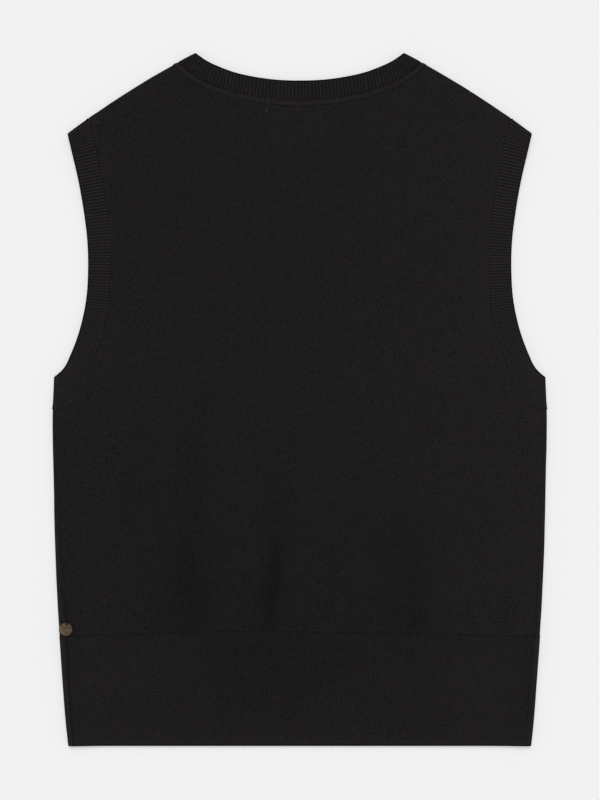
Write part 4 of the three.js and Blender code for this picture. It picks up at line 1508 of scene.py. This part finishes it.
def tube(points, radius, sides=10):
    """Points and faces of a closed round cord along a path."""
    path = np.asarray(points, float)
    rings = []
    runs = np.gradient(path, axis=0)
    runs /= np.linalg.norm(runs, axis=1, keepdims=True)
    side = np.cross(runs[0], (0.3, 0.2, 1.0))
    for centre, run in zip(path, runs):
        side = side - run * (side @ run)
        side /= np.linalg.norm(side)
        other = np.cross(run, side)
        turn = np.arange(sides) * 2 * math.pi / sides
        rings.append(
            centre + radius * (np.cos(turn)[:, None] * side + np.sin(turn)[:, None] * other),
        )
    points = np.vstack(
        [*rings, path[0] - runs[0] * radius * 0.6, path[-1] + runs[-1] * radius * 0.6],
    )
    faces = []
    count = len(path)
    for r in range(count - 1):
        for k in range(sides):
            a, b = r * sides + k, r * sides + (k + 1) % sides
            faces.append([a, b, b + sides, a + sides])
    first, last = count * sides, count * sides + 1
    for k in range(sides):
        n = (k + 1) % sides
        faces.append([first, n, k])
        faces.append([last, (count - 1) * sides + k, (count - 1) * sides + n])
    return points, faces


def joined(parts):
    """Several sets of points and faces as one."""
    points, faces, start = [], [], 0
    for part_points, part_faces in parts:
        points.append(part_points)
        faces += [[corner + start for corner in face] for face in part_faces]
        start += len(part_points)
    return np.vstack(points), faces


class VEST_OT_panels(bpy.types.Operator):
    """Back and front panel of fine jersey"""

    bl_idname = "knit_vest.panels"
    bl_label = "Jersey panels"

    def execute(self, context):
        cloth, _, colours, _ = settings()
        material = made("Fine gauge jersey", lambda: jersey_material(colours, cloth))
        for layer, side, under in ((1, "back", ["front_panel_knit"]), (-1, "front", [])):
            points, faces, flat, tone = panel(layer, cloth.point_step)
            piece = new_object(f"{side}_panel_knit", points, faces, flat, material, tone + PANEL_TONE)
            piece.data.set_sharp_from_angle(angle=math.radians(50))
            if layer > 0:
                opened = piece.data.attributes.new("OpenWales", "FLOAT", "POINT")
                opened.data.foreach_set("value", open_wales(*flat.T))
            cut = np.ptp(flat, axis=0) * MM
            lay_sheet(piece, f"{side}_panel", cut)
        return {"FINISHED"}


class VEST_OT_hem(bpy.types.Operator):
    """Deep rib round the hem, one piece on each panel"""

    bl_idname = "knit_vest.hem"
    bl_label = "Hem rib"

    def execute(self, context):
        _, ribs, colours, _ = settings()
        gauge = 2 * 206 / HEM_RIBS
        material = made("Hem rib knit", lambda: rib_material(colours, "Hem rib knit", gauge, 1.25))
        for layer, side, under in ((1, "back", ["hem_front_rib"]), (-1, "front", [])):
            points, faces, flat, tone = hem_rib(layer, ribs.hem)
            piece = new_object(f"hem_{side}_rib", points, faces, flat, material, tone)
            lay_sheet(piece, f"hem_rib_{side}", np.ptp(flat, axis=0) * MM)
        return {"FINISHED"}


class VEST_OT_neckband(bpy.types.Operator):
    """Ribbed neckband with the ridge where it is linked on"""

    bl_idname = "knit_vest.neckband"
    bl_label = "Neckband"

    def execute(self, context):
        _, ribs, colours, _ = settings()
        material = made(
            "Neckband rib knit",
            lambda: rib_material(colours, "Neckband rib knit", 3.0, 1.3),
        )
        rows = (
            (0.0, 0.2, 0.0, 0.0),
            (0.025, 0.55, 0.0, 0.0),
            (0.045, 0.8, 0.0, 0.0),
            (0.08, 0.95, 0.0, 0.0),
            (0.14, 1.0, 0.0, 0.0),
            (0.24, 1.0, 0.0, 0.0),
            (0.34, 1.0, 0.0, 0.0),
            (0.44, 1.0, 0.0, 0.0),
            (0.54, 1.0, 0.0, 0.0),
            (0.62, 1.0, 0.0, 0.0),
            (0.67, 1.0, -0.1, 0.0),
            (0.71, 0.9, -0.25, 0.1),
            (0.745, 0.3, -0.4, 0.16),
            (0.78, 0.0, 0.1, 0.1),
            (0.82, 0.0, 0.75, 0.2),
            (0.86, 0.0, 1.0, 0.24),
            (0.9, 0.0, 1.0, 0.24),
            (0.94, 0.0, 0.75, 0.2),
            (0.975, 0.0, 0.1, 0.06),
            (1.0, 0.0, -0.3, 0.0),
        )
        points, faces, flat, tone = band_ring(
            NECK_EDGE_CURVES,
            NECK_LINK_CURVES,
            NECK_RIBS,
            rows,
            (ribs.neck, ribs.ridge),
            1.5,
            NECK_CONTRAST,
            neck_spread,
        )
        piece = new_object("neckband_knit", points, faces, flat, material, tone + NECK_TONE)
        cut = band_cut(NECK_EDGE_CURVES, NECK_LINK_CURVES)
        lay_sheet(piece, "neckband", cut)
        return {"FINISHED"}


class VEST_OT_armbands(bpy.types.Operator):
    """Ribbed bands round both armholes"""

    bl_idname = "knit_vest.armbands"
    bl_label = "Armbands"

    def execute(self, context):
        _, ribs, colours, _ = settings()
        material = made(
            "Armband rib knit",
            lambda: rib_material(colours, "Armband rib knit", 3.0, 1.3),
        )
        rows = (
            (0.0, 0.2, 0.0, 0.0),
            (0.025, 0.55, 0.0, 0.0),
            (0.045, 0.8, 0.0, 0.0),
            (0.08, 0.95, 0.0, 0.0),
            (0.14, 1.0, 0.0, 0.0),
            (0.25, 1.0, 0.0, 0.0),
            (0.37, 1.0, 0.0, 0.0),
            (0.5, 1.0, 0.0, 0.0),
            (0.62, 1.0, 0.0, 0.0),
            (0.73, 1.0, 0.0, 0.0),
            (0.8, 1.0, 0.0, 0.0),
            (0.86, 1.0, 0.0, 0.0),
            (0.9, 1.0, 0.1, 0.0),
            (0.935, 1.0, 0.15, 0.0),
            (0.96, 0.4, -0.2, 0.0),
            (0.98, 0.1, -0.5, 0.0),
            (1.0, 0.0, -0.6, 0.0),
        )
        edges = {1: ARM_EDGE_CURVE, -1: ARM_EDGE_CURVE}
        links = {1: ARM_LINK_CURVE, -1: ARM_LINK_CURVE}
        points, faces, flat, tone = band_ring(
            edges,
            links,
            ARM_RIBS,
            rows,
            (ribs.arm, 0.5 * ribs.arm),
            1,
            ARM_CONTRAST,
            armband_spread,
            armhole=True,
        )
        for hand, side in ((1, "right"), (-1, "left")):
            placed = points * (hand, 1, 1)
            turned = faces if hand > 0 else [tuple(face)[::-1] for face in faces]
            # Each armband's tone, with painted light on the right one and painted shade on the left
            lit = tone + ARM_TONE + 0.03 * hand
            piece = new_object(f"armband_{side}_knit", placed, turned, flat, material, lit)
            lay_sheet(piece, f"armband_{side}", band_cut(edges, links))
        return {"FINISHED"}


class VEST_OT_seams(bpy.types.Operator):
    """Linking beads, side and shoulder stitches, and tack stitches"""

    bl_idname = "knit_vest.seams"
    bl_label = "Seams and linking"

    def execute(self, context):
        _, _, colours, _ = settings()
        material = made("Twisted linking yarn", lambda: thread_material(colours))
        for name, tone, (points, faces) in (
            ("linking_yarn", -0.2, self.linking_yarn()),
            ("armhole_beads", 1.15, self.armhole_beads()),
            ("hem_linking", 0.12, self.hem_linking()),
            ("seam_stitches", -0.1, self.seam_stitches()),
            ("tack_stitches", 1.1, self.tack_stitches()),
        ):
            if name == "linking_yarn":
                y = points[:, 1]
                tone = tone + 0.15 * ease(50, 0, y)
            if name == "hem_linking":
                tone = tone + 0.25 * np.sin(1.31 * points[:, 0])
            piece = new_object(name, points, faces, None, material, tone)
            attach(piece, "vest")
        return {"FINISHED"}

    def linking_yarn(self):
        """The yarn that closes each seam, sunk between the two edges that it joins."""
        parts = []

        def add(flat, layer):
            line, _ = cloth_frames(flat, layer, OUTER - LINK_SUNK)
            parts.append(tube(line, LINK_RADIUS, 8))

        for layer in (1, -1):
            neck = NECK_LINK_CURVES[layer]
            add(neck.offset(station_shares(neck.length, 2.0, 6), -SEAM_GAP / 2), layer)
            arm = ARM_LINK_CURVE.offset(
                station_shares(ARM_LINK_CURVE.length, 2.0, 6),
                -SEAM_GAP / 2,
            )
            add(arm, layer)
            add(arm * (-1, 1), layer)
            reach = side_seam(layer, 1, HEM_JOIN + 3)[0, 0]
            x = np.linspace(-reach, reach, 460)
            add(np.stack([x, hem_line(x)], -1), layer)
        for hand in (-1, 1):
            y = np.arange(HEM_EDGE + 0.4, ARM_LINK_END, 2.0)
            add(np.stack([hand * seam_half(y, hand), y], -1), 1)
            half = np.arange(NECK_LINK_TOP, ARM_LINK_TOP, 1.5)
            add(np.stack([hand * half, shoulder_flat(half)], -1), 1)
        return joined(parts)

    def armhole_beads(self):
        """One bead where each rib of an armband meets the linking line."""
        shares = rib_places((np.arange(ARM_RIBS[1]) + 0.5) / ARM_RIBS[1])
        edge, link = ARM_EDGE_CURVE.at(armband_spread(1, shares)), ARM_LINK_CURVE.at(shares)
        flat = edge * 0.07 + link * 0.93
        wobble = np.sin(np.arange(len(shares)) * 2.4)
        centres, out = cloth_frames(flat, 1, OUTER + 0.5 + 0.04 * wobble)
        runs = np.column_stack([link - edge, np.zeros(len(link))])
        sizes = np.column_stack(
            [1.0 + 0.1 * wobble, np.full(len(wobble), 0.6), np.full(len(wobble), 0.45)],
        )
        sizes[:, 1] *= 1 - 0.25 * ease(0.6, 0.7, shares)
        right = strew_stitches(centres, runs, out, sizes)
        left = (right[0] * (-1, 1, 1), [face[::-1] for face in right[1]])
        return joined([right, left])

    def hem_linking(self):
        """One small stitch at each rib along the line where the hem rib is linked on."""
        t = (np.arange(HEM_RIBS) + 0.5) / HEM_RIBS
        x = -seam_half(HEM_JOIN, -1) * (1 - t) + seam_half(HEM_JOIN, 1) * t
        flat = np.stack([x, hem_line(x) - 0.15], -1)
        wobble = np.sin(np.arange(HEM_RIBS) * 1.7)
        centres, out = cloth_frames(flat, 1, OUTER - 0.05 + 0.03 * wobble)
        runs = np.tile((0.0, 1.0, 0.0), (HEM_RIBS, 1))
        return strew_stitches(centres, runs, out, (0.75, 0.45, 0.3))

    def seam_stitches(self):
        """Stitches across the closed seams, sunk between the two edges."""
        flats, runs = [], []
        for hand in (-1, 1):
            y = np.arange(HEM_EDGE + 1.2, ARM_LINK_END - 1, 1.9)
            flats.append(np.stack([hand * seam_half(y, hand), y], -1))
            runs.append(np.tile((1.0, 0.0, 0.0), (len(y), 1)))
            half = np.arange(NECK_LINK_TOP + 1, ARM_LINK_TOP - 1, 2.0)
            flats.append(np.stack([hand * half, shoulder_flat(half)], -1))
            slope = -(half - SHOULDER_X) / (shoulder_flat(half) - SHOULDER_Y)
            runs.append(np.column_stack([-hand * slope, np.ones(len(half)), np.zeros(len(half))]))
        flat = np.vstack(flats)
        centres, out = cloth_frames(flat, 1, np.full(len(flat), 0.3))
        down = np.vstack(runs)
        at_shoulder = flat[:, 1] > 200
        down[at_shoulder] = (0, 0, 1)
        return strew_stitches(centres, down, out, (0.8, 0.7, 0.35))

    def tack_stitches(self):
        """Two short pairs of stitches that hold the tab inside the back neck."""
        parts = []
        for from_x, from_y, to_x, to_y in TACKS:
            t = np.linspace(0, 1, 9)
            x, y = from_x + (to_x - from_x) * t, from_y + (to_y - from_y) * t
            for dx in (-0.34, 0.34):
                arch = np.sin(math.pi * t)
                across = np.interp(y, (260.0, 261.5, 264.5, 267.0), (0.1, 0.75, 0.75, 0.2))
                line, _ = cloth_frames(
                    np.stack([x + dx, y], -1),
                    1,
                    OUTER + across + 0.3 * arch - 0.1,
                )
                parts.append(tube(line, 0.3, 8))
        return joined(parts)


class VEST_OT_disc(bpy.types.Operator):
    """Small hammered brass disc with the thread that holds it"""

    bl_idname = "knit_vest.disc"
    bl_label = "Disc and thread"

    def execute(self, context):
        _, _, colours, _ = settings()
        material = made("Antique brass", lambda: brass_material(colours))
        centre = DISC_CENTRE * MM
        bpy.ops.object.select_all(action="DESELECT")
        bpy.ops.mesh.primitive_cylinder_add(
            vertices=96, radius=DISC_RADIUS * MM, depth=DISC_THICKNESS * MM, location=centre
        )
        disc = context.object
        disc.name = "hammered_disc"
        bpy.ops.object.mode_set(mode="EDIT")
        bpy.ops.mesh.select_all(action="DESELECT")
        bm = bmesh.from_edit_mesh(disc.data)
        for face in bm.faces:
            face.select_set(abs(face.normal.z) > 0.9)
        bmesh.update_edit_mesh(disc.data)
        bpy.ops.mesh.inset(thickness=0.5 * MM)
        for inset in (1.3, 1.4, 1.4):
            bpy.ops.mesh.inset(thickness=inset * MM)
        bpy.ops.mesh.select_all(action="DESELECT")
        bpy.ops.object.mode_set(mode="OBJECT")
        turn = math.radians(-11)
        away = Vector((-math.sin(turn), math.cos(turn), 0)) * 4.2 * MM
        bpy.ops.object.select_all(action="DESELECT")
        bpy.ops.mesh.primitive_cylinder_add(
            vertices=40, radius=0.95 * MM, depth=4 * DISC_THICKNESS * MM, location=centre + away
        )
        punch = context.object
        bpy.ops.object.select_all(action="DESELECT")
        disc.select_set(True)
        context.view_layer.objects.active = disc
        hole = disc.modifiers.new("Thread hole", "BOOLEAN")
        hole.operation = "DIFFERENCE"
        hole.solver = "EXACT"
        hole.object = punch
        bpy.ops.object.modifier_apply(modifier=hole.name)
        bpy.data.objects.remove(punch, do_unlink=True)
        rims = disc.modifiers.new("Worn rims", "BEVEL")
        rims.width = 0.22 * MM
        rims.segments = 3
        rims.limit_method = "ANGLE"
        rims.angle_limit = math.radians(60)
        bpy.ops.object.modifier_apply(modifier=rims.name)
        bpy.ops.object.transform_apply(location=True, rotation=True, scale=True)
        bpy.ops.object.shade_smooth_by_angle(angle=math.radians(40))
        disc.data.materials.clear()
        disc.data.materials.append(material)
        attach(disc, "charm")
        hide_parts("charm")
        self.add_thread(colours, away)
        return {"FINISHED"}

    def add_thread(self, colours, away):
        """Doubled thread through the hole and over the rim, and its stitches in the cloth."""
        material = made("Twisted linking yarn", lambda: thread_material(colours))
        out = np.array(away.normalized())
        hole = np.array(DISC_CENTRE) + np.array(away) / MM
        top, bottom = DISC_HIGH.z, DISC_LOW.z
        side = np.array([out[1], -out[0], 0])
        loops = []
        for shift in (-0.28, 0.3):
            path = []
            for reach, level in (
                (-0.1, bottom - 0.25),
                (-0.05, (top + bottom) / 2),
                (0.15, top + 0.12),
                (0.9, top + 0.42),
                (1.7, top + 0.3),
                (2.2, (top + bottom) / 2),
                (1.7, bottom - 0.2),
                (0.8, bottom - 0.33),
            ):
                spot = hole + out * reach + side * shift * (1 if reach > 0.5 else 0.8)
                path.append((spot[0], spot[1], level))
            loops.append(tube(smooth_path(path), 0.26, 8))
        thread = new_object("disc_thread", *joined(loops), None, material)
        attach(thread, "charm")
        stitches = []
        for shift in (-0.35, 0.4):
            path = []
            for reach, lift in ((1.4, 0.05), (2.4, 0.35), (3.4, 0.38), (4.4, 0.25), (5.2, -0.25)):
                spot = hole + out * reach + side * shift
                ground = lay(spot[0], spot[1], 1)[2] + OUTER
                path.append((spot[0], spot[1], ground + lift))
            stitches.append(tube(smooth_path(path), 0.25, 8))
        tacks = new_object("disc_tack_stitches", *joined(stitches), None, material)
        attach(tacks, "vest")


def smooth_path(points, count=6):
    """Points of a smooth line through a few places."""
    pts = np.array(points, float)
    ends = np.vstack([2 * pts[0] - pts[1], pts, 2 * pts[-1] - pts[-2]])
    t = np.linspace(0, 1, count, endpoint=False)[:, None]
    line = []
    for a, b, c, d in zip(ends[:-3], ends[1:-2], ends[2:-1], ends[3:]):
        line.append(
            0.5 * (2 * b + (c - a) * t + (2 * a - 5 * b + 4 * c - d) * t**2 + (3 * b - a - 3 * c + d) * t**3),
        )
    return np.vstack([*line, pts[-1]])


class VEST_OT_stage(bpy.types.Operator):
    """Pale floor, soft light and the camera straight above"""

    bl_idname = "knit_vest.stage"
    bl_label = "Floor, light and camera"

    def execute(self, context):
        stage = context.scene.vest_stage
        bpy.ops.object.select_all(action="DESELECT")
        bpy.ops.mesh.primitive_plane_add(size=8, location=(0, 0, -0.0002))
        floor = context.object
        floor.name = "pale_floor"
        bpy.ops.object.transform_apply(location=True)
        floor.data.materials.append(floor_material(stage.floor))
        world = bpy.data.worlds.new("Even studio")
        context.scene.world = world
        world.use_nodes = True
        world.node_tree.nodes["Background"].inputs[0].default_value = (1, 1, 1, 1)
        world.node_tree.nodes["Background"].inputs[1].default_value = 0.3
        for name, power, spread, aim in (
            ("Key from the neck side", 1.1, 32, (0.02, -0.45, -1)),
            ("Overhead", 1.2, 16, (0.0, -0.06, -1)),
        ):
            data = bpy.data.lights.new(name, "SUN")
            data.energy = power
            data.angle = math.radians(spread)
            light = bpy.data.objects.new(name, data)
            light.rotation_euler = Vector(aim).to_track_quat("-Z", "Y").to_euler()
            context.scene.collection.objects.link(light)
        camera_data = bpy.data.cameras.new("Camera")
        camera_data.lens = stage.lens
        camera_data.sensor_width = 36
        camera_data.clip_end = 30
        camera = bpy.data.objects.new("Camera", camera_data)
        height = stage.view_height * stage.lens / camera_data.sensor_width
        camera.location = (0.00027, -0.00047, height + 0.005)
        context.scene.collection.objects.link(camera)
        context.scene.camera = camera
        context.scene.view_settings.view_transform = "Standard"
        return {"FINISHED"}


class VEST_PT_panel(bpy.types.Panel):
    """Sizes, colours and makers of the vest"""

    bl_idname = "VEST_PT_panel"
    bl_label = "Knit vest"
    bl_space_type = "VIEW_3D"
    bl_region_type = "UI"
    bl_category = "Knit vest"

    def draw(self, context):
        layout = self.layout
        scene = context.scene
        for group in (scene.vest_cloth, scene.vest_ribs, scene.vest_colours, scene.vest_stage):
            for key in group.bl_rna.properties.keys():
                if key not in ("rna_type", "name"):
                    layout.prop(group, key)
        for operator in OPERATORS:
            layout.operator(operator.bl_idname)


OPERATORS = (
    VEST_OT_panels,
    VEST_OT_hem,
    VEST_OT_neckband,
    VEST_OT_armbands,
    VEST_OT_seams,
    VEST_OT_disc,
    VEST_OT_stage,
)
GROUPS = {
    "vest_cloth": VestCloth,
    "vest_ribs": VestRibs,
    "vest_colours": VestColours,
    "vest_stage": VestStage,
}


def register():
    for group in (*GROUPS.values(), *OPERATORS, VEST_PT_panel):
        bpy.utils.register_class(group)
    for name, group in GROUPS.items():
        setattr(bpy.types.Scene, name, bpy.props.PointerProperty(type=group))


def unregister():
    for name in GROUPS:
        delattr(bpy.types.Scene, name)
    for group in (VEST_PT_panel, *reversed(OPERATORS), *reversed(GROUPS.values())):
        bpy.utils.unregister_class(group)


def main():
    register()
    bpy.ops.knit_vest.panels()
    bpy.ops.knit_vest.hem()
    bpy.ops.knit_vest.neckband()
    bpy.ops.knit_vest.armbands()
    bpy.ops.knit_vest.seams()
    bpy.ops.knit_vest.disc()
    bpy.ops.knit_vest.stage()


if __name__ == "__main__":
    main()
